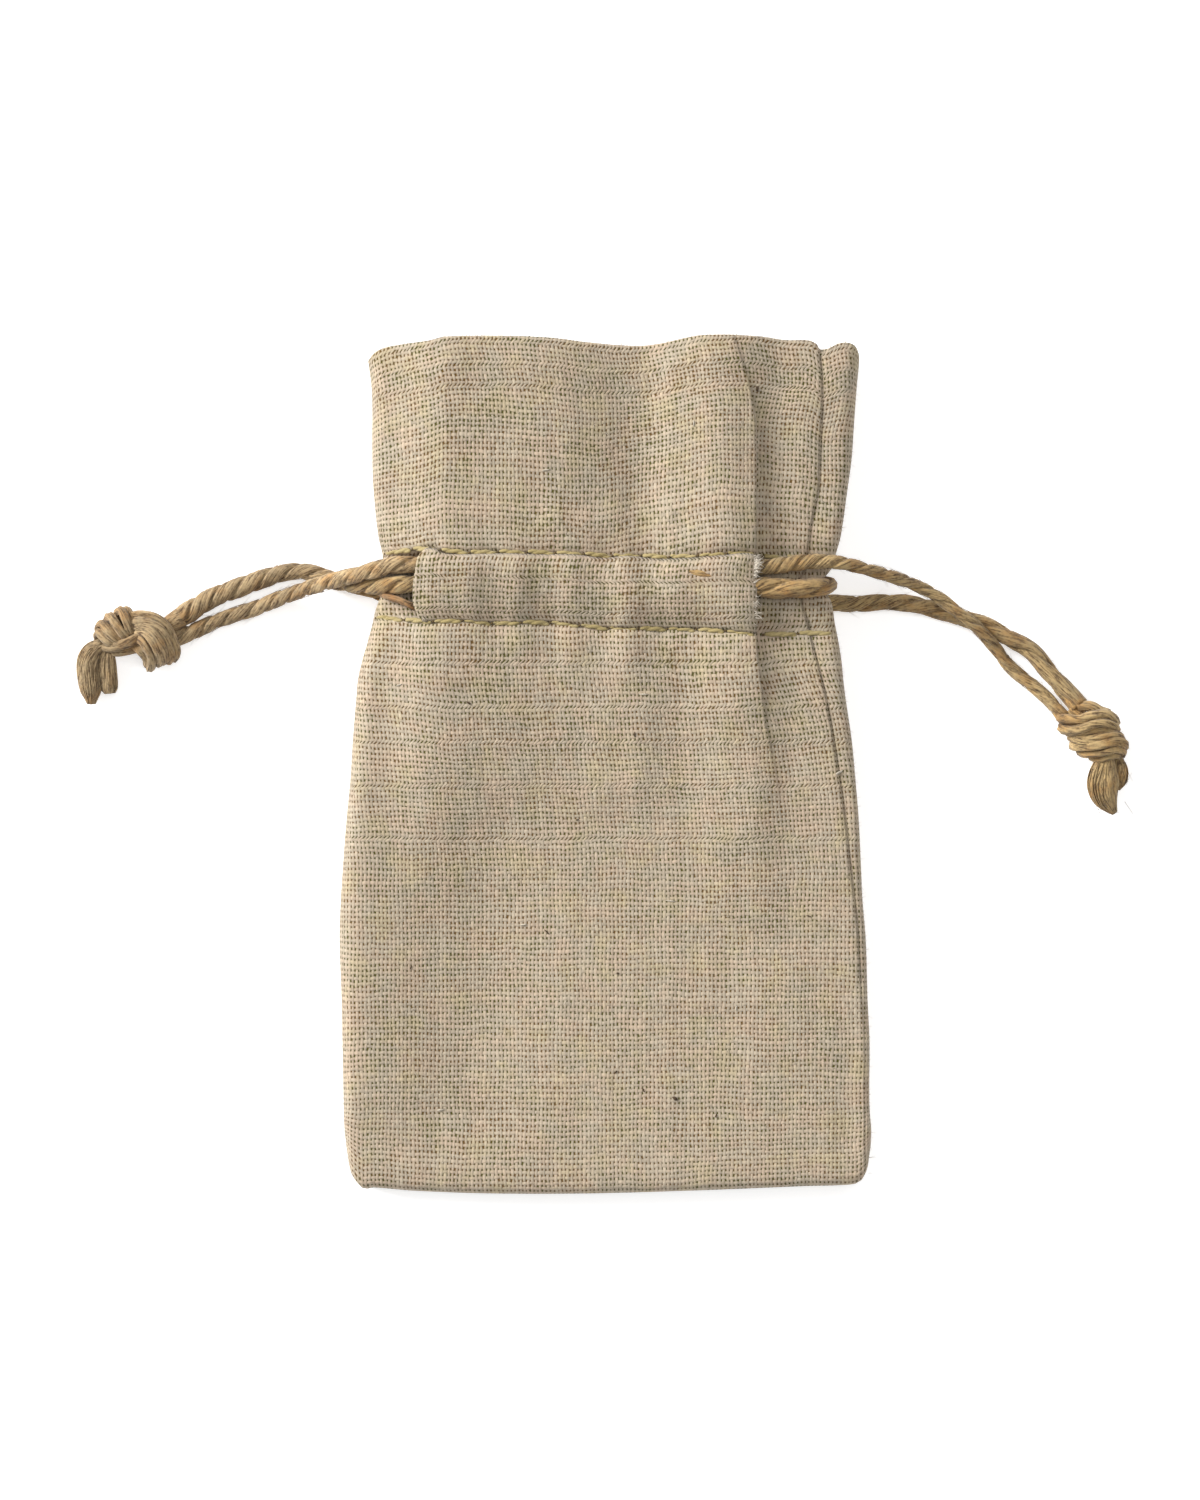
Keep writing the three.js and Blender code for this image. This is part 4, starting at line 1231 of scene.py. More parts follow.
def front_cloth_z(x, y):
    """The outer surface that a stitch lies on."""
    if x > pleat_line(y) + 0.6:
        reach = min(1.0, (x - pleat_line(y)) / (seam_line(y) - pleat_line(y)))
        drop = mix(PLEAT_DEPTH, RECESS_END, reach) * pleat_strength(y)
        if x > seam_line(y):
            drop += SEAM_STEP
        return front_z(x, y) - drop * across_front(x, y)
    return front_z(x, y)


def stitch(builder, start, end, width, arch, chance):
    """One stitch from needle hole to needle hole, of two twisted plies."""
    path = []
    radii = []
    for k in range(STITCH_STEPS + 1):
        t = k / STITCH_STEPS
        point = Vector(start).lerp(Vector(end), t)
        rise = math.sin(math.pi * t) ** 0.45
        point.z += arch * (rise * 1.25 - 0.45) - STITCH_DEPTH * (1 if arch > 0 else -1)
        point.y += 0.06 * math.sin(math.pi * t) * chance.uniform(0.5, 1.0)
        path.append(point)
        radii.append(width * 0.36 * (0.62 + 0.38 * rise))
    frames = frames_along(path)
    phase = chance.uniform(0, math.tau)
    for ply in range(STITCH_PLIES):
        strand = ply_path(path, frames, width * 0.13, STITCH_LAY, phase + math.pi * ply)
        builder.tube(strand, radii, 6, shift=chance.uniform(0, 50))


def sew_row(row, x_from, x_to, surface, builder, holes, chance, up=1.0):
    """Stitches along a row. up is 1 on the front and below 0 on the back."""
    settings = bpy.context.scene.linen_bag.stitches
    pitch = settings.pitch / MM
    width = settings.width / MM
    count = max(1, round((x_to - x_from) / pitch))
    pitch = (x_to - x_from) / count
    for k in range(count):
        a = x_from + pitch * k
        b = a + pitch
        slip = chance.uniform(0.1, 0.26)
        start = (a + STITCH_GAP / 2, row(a) + slip, surface(a + STITCH_GAP / 2, row(a)))
        end = (b - STITCH_GAP / 2, row(b) - slip * 0.6, surface(b - STITCH_GAP / 2, row(b)))
        stitch(builder, start, end, width, STITCH_ARCH * up, chance)
        holes.append((a, row(a) + 0.05, surface(a, row(a)), up))


def make_stitches():
    """The two rows on each face, and dark tubes of painted shade in the holes that the needle left."""
    chance = random.Random(11)
    builder = Builder()
    holes = []
    over_channel = CHANNEL_RIGHT - 0.3
    for row in (lower_row, upper_row):
        sew_row(row, left_side(row(-34)) + 0.5, over_channel, front_cloth_z, builder, holes, chance)
    sew_row(lower_row, 23.4, 34.0, front_cloth_z, builder, holes, chance)
    sew_row(upper_row, 23.4, 30.4, front_cloth_z, builder, holes, chance)
    ochre = thread_material()
    builder.piece("stitches_front", ochre, "jute")
    back = Builder()
    for row in (lower_row, upper_row):
        sew_row(row, -31.0, 31.0, lambda x, y: back_height(y), back, holes, chance, up=-0.55)
    back.piece("stitches_back", ochre, "jute")
    # Painted shade: a dark tube sits in each needle hole, where the hole is in shade
    dark = Builder()
    for x, y, z, up in holes:
        path = [Vector((x, y, z + rise * up)) for rise in (0.24, 0.1, -0.3)]
        dark.tube(path, [0.10, 0.22, 0.20], 9, squash=0.8)
    dark.piece("shaded_needle_holes", plain_material("dark needle hole", (0.11, 0.068, 0.022)), "linen")


# Frayed threads

FRAYED_THREADS = 8
FRAYED_FIBRES = 190


def fray_end(builder, chance, place, reach, radius, sides):
    """One thread end or fibre that hangs out of the channel's cut end."""
    y, z = channel_surface(CHANNEL_RIGHT, place)
    start = Vector((CHANNEL_RIGHT - chance.uniform(0.15, 1.7), y + chance.uniform(-0.2, 0.2), z - 0.04))
    tilt = chance.uniform(-0.6, 0.6)
    droop = chance.uniform(-0.1, 0.6)
    wave = chance.uniform(0, math.tau)
    path = []
    for s in range(5):
        t = s / 4
        path.append(start + Vector((
            0.4 * t + reach * t,
            tilt * t * t + 0.12 * math.sin(5 * t + wave),
            0.16 * math.sin(math.pi * t) - droop * t * t)))
    builder.tube(path, [radius * (1 - 0.6 * s / 4) for s in range(5)], sides)


def make_fray():
    """Loose thread ends and fibres along the cut end of the channel's front layer."""
    chance = random.Random(5)
    builder = Builder()
    for k in range(FRAYED_THREADS):
        place = mix(0.66, 0.98, (k + chance.uniform(0.2, 0.8)) / FRAYED_THREADS)
        loose = smooth((place - 0.6) / 0.2)
        reach = chance.uniform(0.0, 0.15) + loose * chance.uniform(0.0, 0.4)
        fray_end(builder, chance, place, reach, mix(0.07, 0.15, loose) * chance.uniform(0.8, 1.2), 7)
    for k in range(FRAYED_FIBRES):
        place = chance.uniform(0.1, 0.7) if k % 8 == 0 else chance.gauss(0.88, 0.07)
        place = min(0.97, max(0.04, place))
        fray_end(builder, chance, place, chance.uniform(0.2, 1.0), chance.uniform(0.03, 0.07), 5)
    # Painted light: the loose ends are pale, and their colour is lightened further to stand for the light
    # they catch, since they lie in shade
    builder.piece("frayed_ends", plain_material("lightened thread ends", (0.68, 0.61, 0.51)), "linen")


# x, y, length, angle, width
DARK_FLECKS = [
    (-20.6, 9.3, 0.75, 150, 0.26), (10.3, -50.2, 0.8, 150, 0.46), (16.5, -52.8, 0.6, 80, 0.2),
    (22.5, 56.2, 0.7, 100, 0.42), (4.2, 4.6, 0.8, 95, 0.18), (-4.4, -8.2, 0.5, 20, 0.16),
    (-29.4, -30.4, 0.6, 70, 0.15), (30.4, -22.7, 0.7, 160, 0.16), (5.5, -48.9, 0.7, 120, 0.24),
    (-9.0, -25.1, 1.0, 135, 0.18), (1.4, -46.2, 0.5, 60, 0.2), (1.7, -31.3, 0.4, 30, 0.24),
]
PALE_FLECKS = [
    (34.9, -1.1, 1.3, 30, 0.34), (-12.5, -24.0, 1.1, 10, 0.22), (9.6, -20.4, 1.4, 175, 0.2),
    (-25.0, -52.0, 1.2, 5, 0.22), (19.5, -36.5, 1.0, 90, 0.2), (-9.0, 44.0, 1.3, 8, 0.22),
    (5.5, 10.6, 1.2, 178, 0.22), (-31.0, 12.0, 1.0, 20, 0.2), (13.0, 51.0, 1.0, 95, 0.2),
]


def make_flecks(name, flecks, colour):
    """Single specks of bark and thick places in a thread, at listed places."""
    builder = Builder()
    for x, y, length, angle, width in flecks:
        a = math.radians(angle)
        path = []
        for s in range(5):
            t = s / 4 - 0.5
            px = x + length * t * math.cos(a) + 0.05 * math.sin(9 * t)
            py = y + length * t * math.sin(a)
            path.append(Vector((px, py, front_cloth_z(px, py) + 0.07)))
        builder.tube(path, [width * 0.62 * k for k in (0.35, 0.9, 1.0, 0.8, 0.3)], 7)
    builder.piece(name, plain_material(name.replace("_", " "), colour), "linen")


EDGE_FIBRES = 420  # along both sides, and again along the mouth
FRONT_FIBRES = 900
CHANNEL_ZONE = (20, 33)  # along y, where there are none


def make_fuzz():
    """Short fibres standing off the cloth, seen along its edges."""
    chance = random.Random(23)
    builder = Builder()
    for _ in range(EDGE_FIBRES):
        y = chance.uniform(-62, 63)
        right = chance.random() < 0.5
        side = right_side(y) if right else left_side(y)
        out = 1 if right else -1
        if CHANNEL_ZONE[0] < y < CHANNEL_ZONE[1]:
            continue
        z = edge_height(y) + chance.uniform(-0.8, 1.8)
        direction = Vector((out, chance.uniform(-0.8, 0.8), 0.4))
        add_fibre(builder, chance, Vector((side - out * 0.3, y, z)), direction)
    for _ in range(EDGE_FIBRES):
        x = chance.uniform(-34, 36)
        y = lip_wave(x, MOUTH_Y, True) + MOUTH_Y
        z = front_z(x, MOUTH_Y) - 0.4 + chance.uniform(-0.4, 0.3)
        add_fibre(builder, chance, Vector((x, y - 0.3, z)), Vector((chance.uniform(-0.8, 0.8), 1, 0.4)))
    for _ in range(FRONT_FIBRES):
        x = chance.uniform(-36, 36)
        y = chance.uniform(-60, 62)
        if CHANNEL_ZONE[0] < y < CHANNEL_ZONE[1]:
            continue
        z = front_cloth_z(x, y)
        add_fibre(builder, chance, Vector((x, y, z - 0.05)),
                  Vector((chance.uniform(-1, 1), chance.uniform(-1, 1), 0.55)))
    builder.piece("cloth_fuzz", plain_material("linen fibre", (0.66, 0.58, 0.47)), "linen")


def add_fibre(builder, chance, start, direction):
    direction = direction.normalized()
    length = chance.uniform(0.25, 0.9)
    bend = Vector((chance.uniform(-1, 1), chance.uniform(-1, 1), chance.uniform(-0.6, 0.2))) * 0.4
    path = [start + direction * (length * t) + bend * (length * t * t) for t in (0, 0.33, 0.66, 1)]
    builder.tube(path, [0.03, 0.028, 0.022, 0.012], 3)


# Cords

CORD_STEP = 0.42
CORD_SIDES = 44
GROOVE_DEPTH = 0.30  # of the cord's radius, where its two plies meet
GROOVE_WIDTH = 0.26  # in radians
FIBRE_RELIEF = 0.075
UNWIND = 0.46  # the fibres lie straighter along the cord than its plies do
CORD_FLOOR = 0.04  # no cord goes lower than this


def twist_cord(builder, path, width, lay, chance):
    """Two soft plies pressed together: one surface with a winding groove on each side."""
    frames = frames_along(path)
    last = len(path) - 1
    base = len(builder.vertices)
    turn = chance.uniform(0, math.tau)
    swell = chance.uniform(0, 50)
    at = 0.0
    for i, (point, (side, other)) in enumerate(zip(path, frames)):
        if i:
            step = (point - path[i - 1]).length
            at += step
            turn -= math.tau * step / lay(i / last)
        half = width(i / last) / 2
        for k in range(CORD_SIDES):
            a = math.tau * k / CORD_SIDES
            from_groove = min(a % math.pi, math.pi - a % math.pi)
            groove = math.exp(-(from_groove / GROOVE_WIDTH) ** 2)
            u = a * half - UNWIND * at
            ply = math.floor(a / math.pi) * 9.0 + swell
            body = noise.noise(Vector((ply, at * 0.16, 0.0))) * 0.10
            coarse = noise.noise(Vector((u * 3.1, at * 0.3, ply)))
            fibres = coarse + 0.6 * noise.noise(Vector((u * 6.5, at * 0.5, ply)))
            round_ply = 0.93 + 0.07 * math.sin(a % math.pi)
            r = half * (round_ply + body - GROOVE_DEPTH * groove + FIBRE_RELIEF * fibres)
            b = turn + a
            spot = point + side * (math.cos(b) * r) + other * (math.sin(b) * r)
            builder.vertices.append((spot.x, spot.y, max(spot.z, CORD_FLOOR)))
            builder.uvs.append((u + ply, at + swell))
    builder.skin(base, len(path), CORD_SIDES)


def loose_fibres(builder, path, diameter, count, chance):
    """Fibres that cling to a cord askew, and some that stand off it."""
    frames = frames_along(path)
    for _ in range(count):
        i = chance.randrange(2, len(path) - 2)
        a = chance.uniform(0, math.tau)
        side, other = frames[i]
        out = side * math.cos(a) + other * math.sin(a)
        along = (path[i + 1] - path[i - 1]).normalized() * chance.choice((-1, 1))
        clings = chance.random() < 0.7
        start = path[i] + out * diameter * (0.48 if clings else 0.42)
        length = chance.uniform(1.4, 3.4) if clings else chance.uniform(0.5, 2.0)
        lift = chance.uniform(0.0, 0.05) if clings else chance.uniform(0.1, 0.5)
        swing = (side * math.cos(a + 1.6) + other * math.sin(a + 1.6)) * chance.uniform(-0.6, 0.6)
        points = []
        for t in (0, 0.3, 0.6, 1):
            point = start + along * (length * t) + out * (lift * length * t * (1.4 - t))
            point = point + swing * (length * t * t)
            point.z = max(point.z, 0.06)
            points.append(point)
        builder.tube(points, [0.035, 0.03, 0.025, 0.012], 3)


def make_cord(route, stretches, material, held, chance):
    """A whole cord in its free and held stretches, as (name, piece, path, mean width)."""
    settings = bpy.context.scene.linen_bag.jute
    made = []
    for name, first, last, widths, lays in stretches:
        path = smooth_path(route[first:last + 1], CORD_STEP)
        width = Profile(widths)
        mean = sum(width(i / 20) for i in range(21)) / 21
        builder = Builder()
        lay_along = Profile([(share, lay / settings.twist) for share, lay in lays])
        twist_cord(builder, path, width, lay_along, chance)
        if "held" not in name:
            loose_fibres(builder, path, mean, settings.fuzz, chance)
        piece = builder.piece(name, held if "held" in name else material, "jute")
        made.append((name, piece, path, mean))
    return made


def declare_strand(path, diameter, exit_last):
    """Puts a free stretch's points in order from where it leaves the bag to its knot and measures its
    length, but keeps nothing.
    """
    line = list(reversed(path)) if exit_last else list(path)
    length = sum((b - a).length for a, b in zip(line, line[1:]))
    tuple(line[0] * MM)
    diameter * MM
    [tuple(p * MM) for p in line]


# Knots: every visible turn of a ply, as points on its middle line and a width

LEFT_TURNS = [
    # the big right lobe, ply beside ply from the upper left to the lower right
    (1.5, [(-72.4, 22.0, 2.2), (-71.9, 22.6, 3.6), (-70.0, 22.8, 4.6), (-68.0, 22.2, 4.9),
        (-66.6, 20.9, 4.7), (-65.6, 18.9, 4.2), (-65.2, 17.2, 3.2), (-65.9, 16.2, 1.6)]),
    (1.4, [(-72.2, 21.6, 3.4), (-71.4, 21.7, 4.6), (-69.7, 21.6, 5.4), (-67.9, 20.9, 5.6),
        (-66.8, 19.5, 5.4), (-66.2, 18.0, 4.8), (-66.0, 16.7, 3.8), (-66.6, 15.8, 2.2)]),
    (1.3, [(-71.9, 20.9, 3.8), (-70.4, 21.0, 5.2), (-68.7, 20.3, 5.9), (-67.6, 18.9, 5.8),
        (-67.0, 17.4, 5.0), (-67.0, 16.2, 3.6), (-67.4, 15.6, 2.0)]),
    (1.4, [(-71.0, 20.0, 4.4), (-69.5, 19.8, 5.5), (-68.5, 18.7, 5.7), (-67.9, 17.3, 5.0),
        (-67.8, 16.1, 3.8), (-68.1, 15.4, 2.2)]),
    (1.4, [(-71.2, 19.1, 4.1), (-70.2, 18.6, 5.0), (-69.5, 17.5, 5.0), (-69.0, 16.3, 4.2),
        (-69.1, 15.2, 3.0), (-69.4, 14.7, 1.8)]),
    (1.3, [(-72.0, 18.4, 3.4), (-70.9, 17.7, 4.0), (-70.1, 16.7, 3.8), (-69.7, 15.8, 2.8),
        (-69.7, 15.2, 1.8)]),
    # the three small wraps of the left lobe
    (1.45, [(-74.5, 22.2, 1.7), (-74.1, 23.2, 2.9), (-73.4, 23.3, 4.1), (-72.8, 22.2, 4.9),
        (-72.3, 20.9, 4.8), (-72.0, 19.9, 4.0)]),
    (1.3, [(-73.6, 23.2, 2.0), (-72.8, 23.5, 3.0), (-72.2, 22.7, 4.0), (-71.9, 21.5, 4.2),
        (-71.8, 20.6, 3.6)]),
    (1.4, [(-75.9, 21.8, 1.7), (-75.5, 22.4, 2.9), (-74.9, 22.3, 4.1), (-74.1, 21.2, 4.8),
        (-73.3, 20.1, 4.7), (-72.7, 19.3, 3.9)]),
    (1.5, [(-77.0, 20.0, 1.6), (-76.9, 21.1, 2.7), (-76.2, 21.4, 3.9), (-75.3, 20.3, 4.5),
        (-74.4, 19.3, 4.3), (-73.7, 18.7, 3.6)]),
    (1.4, [(-77.2, 18.7, 1.5), (-77.3, 19.8, 2.3), (-76.9, 20.1, 3.2), (-76.1, 19.2, 3.9),
        (-75.2, 18.5, 3.9), (-74.4, 18.1, 3.2)]),
    # the full plies below them
    (1.6, [(-76.4, 18.0, 2.4), (-74.8, 17.8, 3.6), (-73.2, 18.2, 4.1), (-71.6, 18.9, 4.4),
        (-70.8, 19.4, 4.2)]),
    (1.3, [(-75.8, 17.4, 1.8), (-74.2, 17.1, 2.8), (-72.6, 17.3, 3.2), (-71.2, 17.6, 3.2),
        (-70.2, 16.9, 2.4)]),
    # the strands inside
    (2.4, [(-75.6, 20.4, 1.7), (-73.0, 20.6, 2.3), (-70.0, 20.0, 2.6), (-67.0, 19.2, 2.3)]),
    (2.4, [(-75.0, 18.6, 1.7), (-71.5, 18.4, 2.0), (-68.6, 17.6, 2.1), (-66.8, 17.2, 1.9)]),
    (2.7, [(-69.0, 19.6, 2.2), (-67.4, 20.6, 2.4), (-65.8, 21.6, 2.6), (-64.6, 22.4, 2.3)]),
    (2.0, [(-76.2, 20.6, 1.6), (-74.6, 21.7, 1.9), (-73.2, 22.4, 2.1), (-72.0, 22.0, 2.1)]),
]
BLUNT_TAIL = [(0, 0.6), (0.22, 0.98), (0.5, 1.03), (0.76, 1.0), (0.84, 0.88), (0.92, 0.62), (1, 0.4)]
CUT_TAIL = [(0, 0.6), (0.3, 0.95), (0.6, 1.0), (0.9, 0.95), (1, 0.66)]
LEAF_TAIL = [(0, 0.5), (0.3, 0.9), (0.5, 1.0), (0.72, 0.82), (0.9, 0.42), (1, 0.22)]
LEFT_TAILS = [
    (3.3, BLUNT_TAIL, [(-76.6, 18.4, 2.5), (-78.0, 17.3, 2.4), (-78.7, 15.9, 2.2), (-78.8, 14.3, 2.0),
        (-78.6, 12.6, 1.8), (-78.4, 11.2, 1.6), (-78.4, 9.3, 1.2)]),
    (2.8, CUT_TAIL, [(-75.8, 18.0, 2.2), (-75.9, 16.6, 2.0), (-75.9, 15.2, 1.9), (-75.8, 13.6, 1.7),
        (-75.7, 12.3, 1.5), (-75.6, 10.9, 1.3)]),
]
RIGHT_TURNS = [
    # the upper wrap, two plies thick, and the roll behind it
    (1.5, [(69.6, 7.3, 1.6), (68.9, 7.0, 2.9), (70.0, 6.9, 4.0), (71.6, 6.9, 4.8), (73.7, 7.5, 5.2),
        (75.5, 7.7, 4.8), (76.9, 7.0, 3.8), (77.3, 6.2, 2.2)]),
    (1.5, [(69.4, 5.7, 1.5), (69.2, 5.5, 2.8), (70.2, 5.3, 4.0), (71.6, 5.4, 4.9), (73.4, 6.1, 5.4),
        (75.2, 6.4, 5.1), (76.7, 6.0, 4.2), (77.3, 5.4, 2.6)]),
    (1.2, [(70.0, 5.0, 1.8), (71.4, 4.7, 3.4), (73.0, 5.1, 4.6), (74.8, 5.4, 4.7), (76.6, 5.3, 3.8),
        (77.2, 4.9, 2.6)]),
    (1.6, [(71.0, 8.5, 2.0), (72.3, 8.9, 3.2), (73.6, 8.8, 3.8), (75.0, 8.0, 3.8), (76.2, 7.6, 2.8)]),
    # the lower wrap
    (1.4, [(70.7, 4.3, 1.5), (71.1, 4.0, 2.9), (72.6, 3.8, 4.2), (74.7, 4.2, 4.8), (76.6, 4.6, 4.5),
        (77.9, 4.2, 3.4), (78.3, 3.6, 2.0)]),
    (1.5, [(71.0, 3.0, 1.5), (71.4, 2.8, 2.9), (73.0, 2.8, 4.2), (75.0, 3.1, 4.8), (76.9, 3.5, 4.5),
        (78.3, 3.1, 3.4), (78.6, 2.6, 2.0)]),
    (1.4, [(72.0, 2.1, 1.5), (72.6, 1.7, 2.8), (74.0, 1.8, 3.9), (75.6, 2.1, 4.4), (77.1, 2.4, 4.1),
        (78.3, 2.1, 2.9), (78.4, 1.7, 1.8)]),
    (1.2, [(73.6, 1.3, 1.8), (74.8, 0.9, 3.0), (76.2, 1.3, 3.6), (77.6, 1.6, 2.8), (78.0, 1.2, 1.8)]),
    # the strands inside
    (2.6, [(70.4, 8.2, 1.7), (72.6, 6.6, 2.4), (75.2, 4.8, 2.6), (76.6, 3.0, 2.2), (76.9, 1.6, 1.8)]),
    (2.4, [(70.2, 6.6, 1.6), (72.4, 5.0, 2.0), (74.4, 3.2, 2.2), (75.4, 1.6, 1.9)]),
]
RIGHT_TAILS = [
    (4.7, LEAF_TAIL, [(75.7, 1.6, 2.4), (75.6, 0.2, 2.3), (75.4, -1.4, 2.2), (75.4, -3.2, 2.1),
        (75.8, -4.9, 1.9), (76.6, -6.3, 1.5), (77.3, -7.3, 1.1)]),
    (2.2, LEAF_TAIL, [(77.4, 1.6, 2.0), (77.9, 0.4, 1.8), (78.2, -1.0, 1.6), (78.3, -2.4, 1.4),
        (77.9, -3.8, 1.1)]),
]


PATH_STEP = 0.3  # along the turns and the tails


def make_turns(name, turns, material, chance):
    """The turns of a knot, each as a bundle of fibres of its own width."""
    builder = Builder()
    for width, points in turns:
        path = smooth_path(points, PATH_STEP)
        swell = chance.uniform(0, 60)
        radii = []
        for i in range(len(path)):
            radii.append(width * (0.49 + 0.05 * noise.noise(Vector((i * 0.15, swell, 1.0)))))
        builder.fibre_ply(path, radii, 20, swell, ridge=0.24, wind=0.12)
        loose_fibres(builder, path, width, 4, chance)
    return builder.piece(name, material, "jute")


TAIL_STRANDS = 34


def make_tails(name, tails, material, chance):
    """Each cut tail as a swelling bundle of fibres that comes together at its tip."""
    builder = Builder()
    for width, shape, points in tails:
        swell = Profile(shape)
        path = smooth_path(points, PATH_STEP)
        frames = frames_along(path)
        count = len(path)
        core = [width * 0.47 * swell(i / (count - 1)) for i in range(count)]
        builder.fibre_ply(path, core, 26, chance.uniform(0, 60), ridge=0.17, wind=0.1, squash=0.8)
        for _ in range(TAIL_STRANDS):
            a = chance.uniform(0, math.tau)
            first = chance.uniform(0.0, 0.35)
            last = chance.uniform(0.72, 1.03)
            turn = chance.uniform(0.1, 0.8)
            line = []
            radii = []
            for i, (point, (side, other)) in enumerate(zip(path, frames)):
                t = i / (count - 1)
                if not first < t < last:
                    continue
                spread = width * 0.48 * swell(t)
                b = a + turn * t
                spot = point + side * (math.cos(b) * spread * 0.8) + other * (math.sin(b) * spread)
                spot.z = max(spot.z, 0.12)
                line.append(spot)
                radii.append(0.045 + 0.085 * math.sin(math.pi * min(1.0, (t - first) / (last - first))))
            if len(line) > 3:
                builder.fibre_ply(line, radii, 6, chance.uniform(0, 80), ridge=0.0)
        loose_fibres(builder, path, width, 14, chance)
    return builder.piece(name, material, "jute")


# Operators

class BAG_OT_cloth(bpy.types.Operator):
    """Make the bag's cloth with its folds, pleat and turned-in hem"""
    bl_idname = "linen_bag.cloth"
    bl_label = "Bag cloth"

    def execute(self, context):
        material = linen_material()
        bag = make_bag_cloth(material)
        front = make_channel_front(linen_material("channel linen weave", open_by=0.035))
        back = make_channel_back(material)
        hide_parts("bag_cloth")
        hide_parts("bag_cloth")
        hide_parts("bag_cloth")
        return {"FINISHED"}


class BAG_OT_stitches(bpy.types.Operator):
    """Sew the two rows of the channel, front and back"""
    bl_idname = "linen_bag.stitches"
    bl_label = "Stitches"

    def execute(self, context):
        make_stitches()
        return {"FINISHED"}


class BAG_OT_fray(bpy.types.Operator):
    """Fray the channel's cut end and raise loose fibres on the cloth"""
    bl_idname = "linen_bag.fray"
    bl_label = "Frayed ends and fuzz"

    def execute(self, context):
        make_fray()
        make_fuzz()
        make_flecks("bark_specks", DARK_FLECKS, (0.075, 0.045, 0.02))
        make_flecks("thread_slubs", PALE_FLECKS, (0.50, 0.44, 0.35))
        return {"FINISHED"}


class BAG_OT_cords(bpy.types.Operator):
    """Lay both cords along their routes and tie their knots"""
    bl_idname = "linen_bag.cords"
    bl_label = "Cords and knots"

    def execute(self, context):
        golden = (1.02, 0.93, 0.74)
        held = jute_material("held jute", golden)
        for side, tint, route, stretches, turns, tails, seed in (
            ("left", (0.96, 0.96, 0.98), ROUTE_LEFT, LEFT_STRETCHES, LEFT_TURNS, LEFT_TAILS, 41),
            ("right", (1.0, 0.97, 0.84), ROUTE_RIGHT, RIGHT_STRETCHES, RIGHT_TURNS, RIGHT_TAILS, 67),
        ):
            chance = random.Random(seed)
            material = jute_material(side + " jute", tint, 1.28 if side == "left" else 1.0)
            knot = make_turns("knot_turns_" + side, turns, material, chance)
            ends = make_tails("knot_tails_" + side, tails, material, chance)
            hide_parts("knot_" + side)
            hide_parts("knot_" + side)
            inside = held if side == "left" else material
            for name, piece, path, width in make_cord(route, stretches, material, inside, chance):
                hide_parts("cord_" + side)
                if "held" not in name:
                    declare_strand(path, width, name.endswith("over"))
        reddish = jute_material("reddish jute", REDDISH)
        make_turns("loose_ply", [(1.0, LOOSE_PLY)], reddish, random.Random(3))
        return {"FINISHED"}


class BAG_OT_stage(bpy.types.Operator):
    """Set up the camera straight above, the lamps and the pale floor"""
    bl_idname = "linen_bag.stage"
    bl_label = "Stage"

    def execute(self, context):
        settings = context.scene.linen_bag.stage
        make_camera(settings)
        make_lamps(settings)
        make_floor(settings)
        return {"FINISHED"}


# The stage

def make_camera(settings):
    camera_data = bpy.data.cameras.new("camera")
    camera_data.lens = settings.lens
    camera_data.sensor_width = SENSOR
    camera_data.clip_start = 0.01
    camera = bpy.data.objects.new("camera", camera_data)
    x, y = PICTURE_CENTRE
    camera.location = (x * MM, y * MM, (CAMERA_DISTANCE + BAG_LEVEL) * MM)
    bpy.context.scene.collection.objects.link(camera)
    bpy.context.scene.camera = camera


LAMP_SIZE = 1.6


def add_lamp(name, power, place):
    """A round lamp that shines at the bag."""
    data = bpy.data.lights.new(name, "AREA")
    data.energy = power
    data.shape = "DISK"
    data.size = LAMP_SIZE
    lamp = bpy.data.objects.new(name, data)
    lamp.location = place
    lamp.rotation_euler = Vector(place).to_track_quat("Z", "Y").to_euler()
    bpy.context.scene.collection.objects.link(lamp)


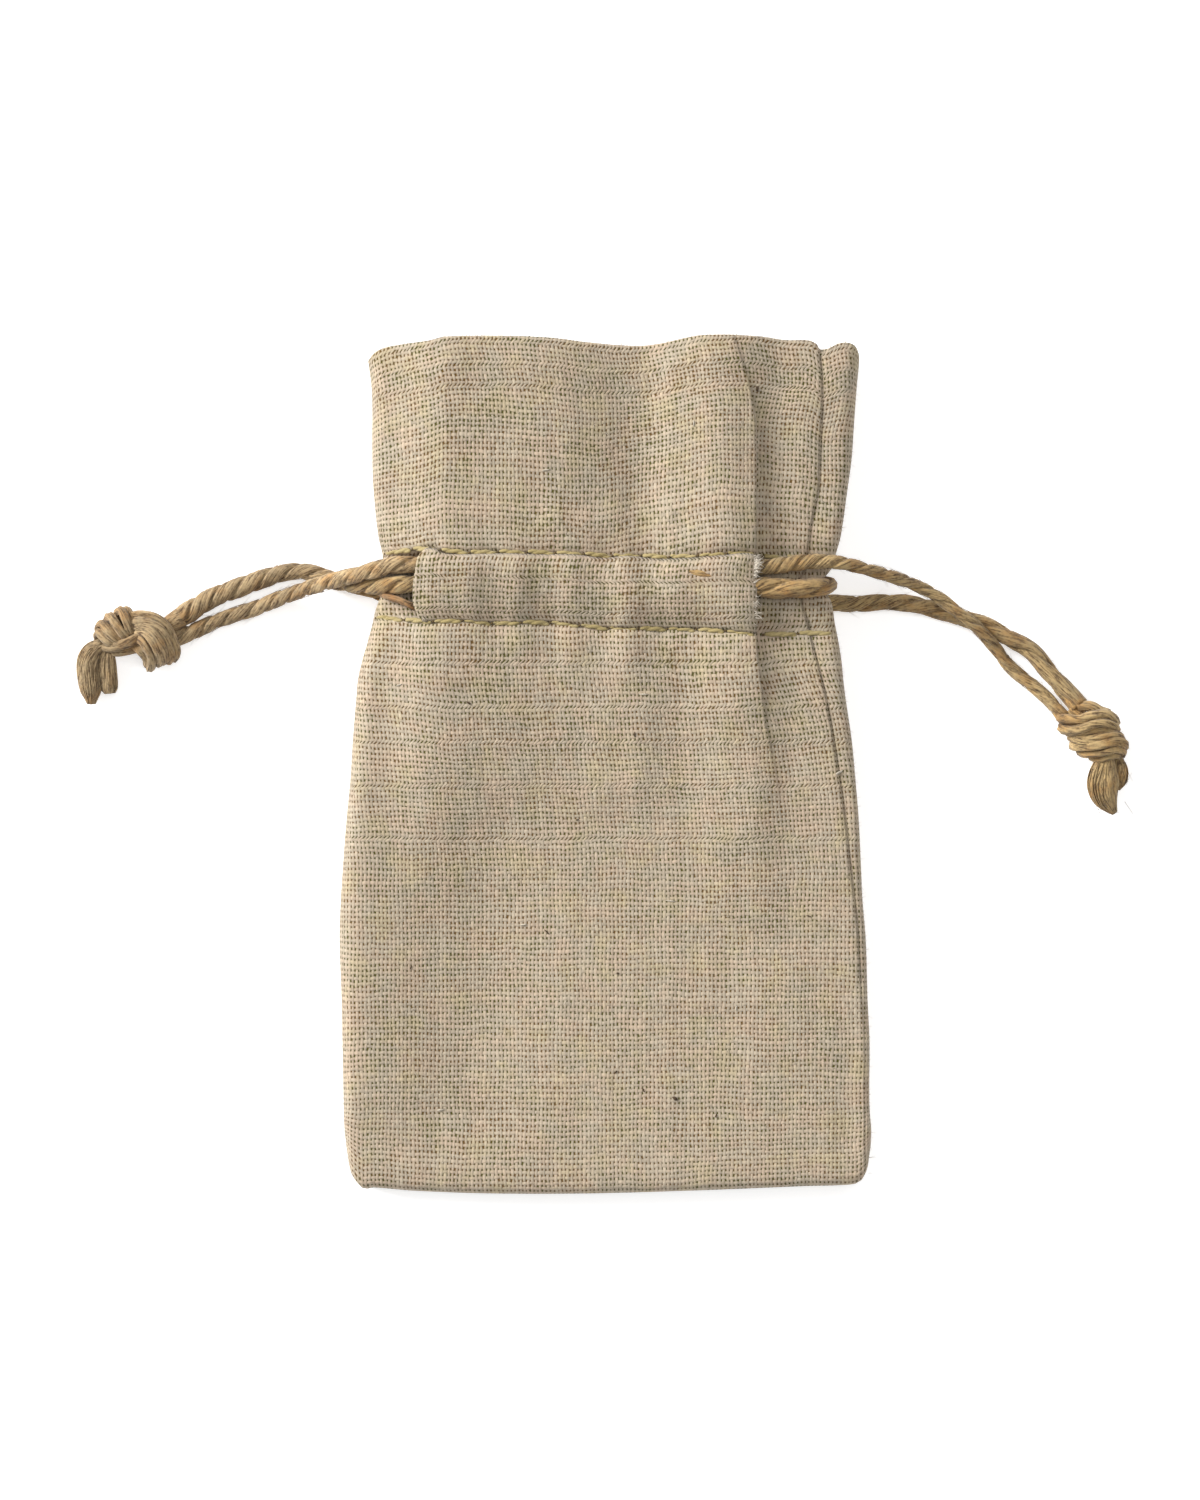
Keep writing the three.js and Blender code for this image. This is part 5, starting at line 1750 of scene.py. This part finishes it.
def make_lamps(settings):
    add_lamp("key light", settings.key_power, (-2.2, 1.23, 1.34))
    add_lamp("overhead light", settings.fill_power, (0.5, 0.3, 2.2))
    world = bpy.data.worlds.new("studio")
    world.use_nodes = True
    background = world.node_tree.nodes["Background"]
    background.inputs["Color"].default_value = (1.0, 1.0, 1.0, 1.0)
    background.inputs["Strength"].default_value = settings.sky
    bpy.context.scene.world = world
    bpy.context.scene.view_settings.view_transform = "Standard"


def make_floor(settings):
    reach = 1.6
    corners = [(-reach, -reach, 0), (reach, -reach, 0), (reach, reach, 0), (-reach, reach, 0)]
    mesh = bpy.data.meshes.new("floor")
    mesh.from_pydata(corners, [], [(0, 1, 2, 3)])
    material, graph, shader = new_material("pale studio floor", roughness=0.9)
    tone = graph.noise(graph.place(), 3.0, 2.0)
    graph.feed(shader.inputs["Base Color"], graph.blend(tone, (0.74, 0.74, 0.74), (0.76, 0.76, 0.76)))
    shader.inputs["Emission Color"].default_value = (1.0, 1.0, 1.0, 1.0)
    shader.inputs["Emission Strength"].default_value = settings.floor_glow
    mesh.materials.append(material)
    floor = bpy.data.objects.new("floor", mesh)
    bpy.context.scene.collection.objects.link(floor)


# Panel and registration

class BAG_PT_panel(bpy.types.Panel):
    """The bag's steps, in order"""
    bl_idname = "BAG_PT_panel"
    bl_label = "Linen bag"
    bl_space_type = "VIEW_3D"
    bl_region_type = "UI"
    bl_category = "Bag"

    def draw(self, context):
        for step in STEPS:
            self.layout.operator(step.bl_idname)
        settings = context.scene.linen_bag
        for group in (settings.linen, settings.jute, settings.stitches, settings.stage):
            box = self.layout.box()
            for name in group.__annotations__:
                box.prop(group, name)


STEPS = (BAG_OT_stage, BAG_OT_cords, BAG_OT_cloth, BAG_OT_stitches, BAG_OT_fray)
CLASSES = (LinenSettings, JuteSettings, StitchSettings, StageSettings, BagSettings, *STEPS, BAG_PT_panel)


def register():
    for made in CLASSES:
        bpy.utils.register_class(made)
    bpy.types.Scene.linen_bag = bpy.props.PointerProperty(type=BagSettings)


def unregister():
    del bpy.types.Scene.linen_bag
    for made in reversed(CLASSES):
        bpy.utils.unregister_class(made)


def main():
    register()
    bpy.ops.linen_bag.stage()
    bpy.ops.linen_bag.cords()
    bpy.ops.linen_bag.cloth()
    bpy.ops.linen_bag.stitches()
    bpy.ops.linen_bag.fray()


if __name__ == "__main__":
    main()
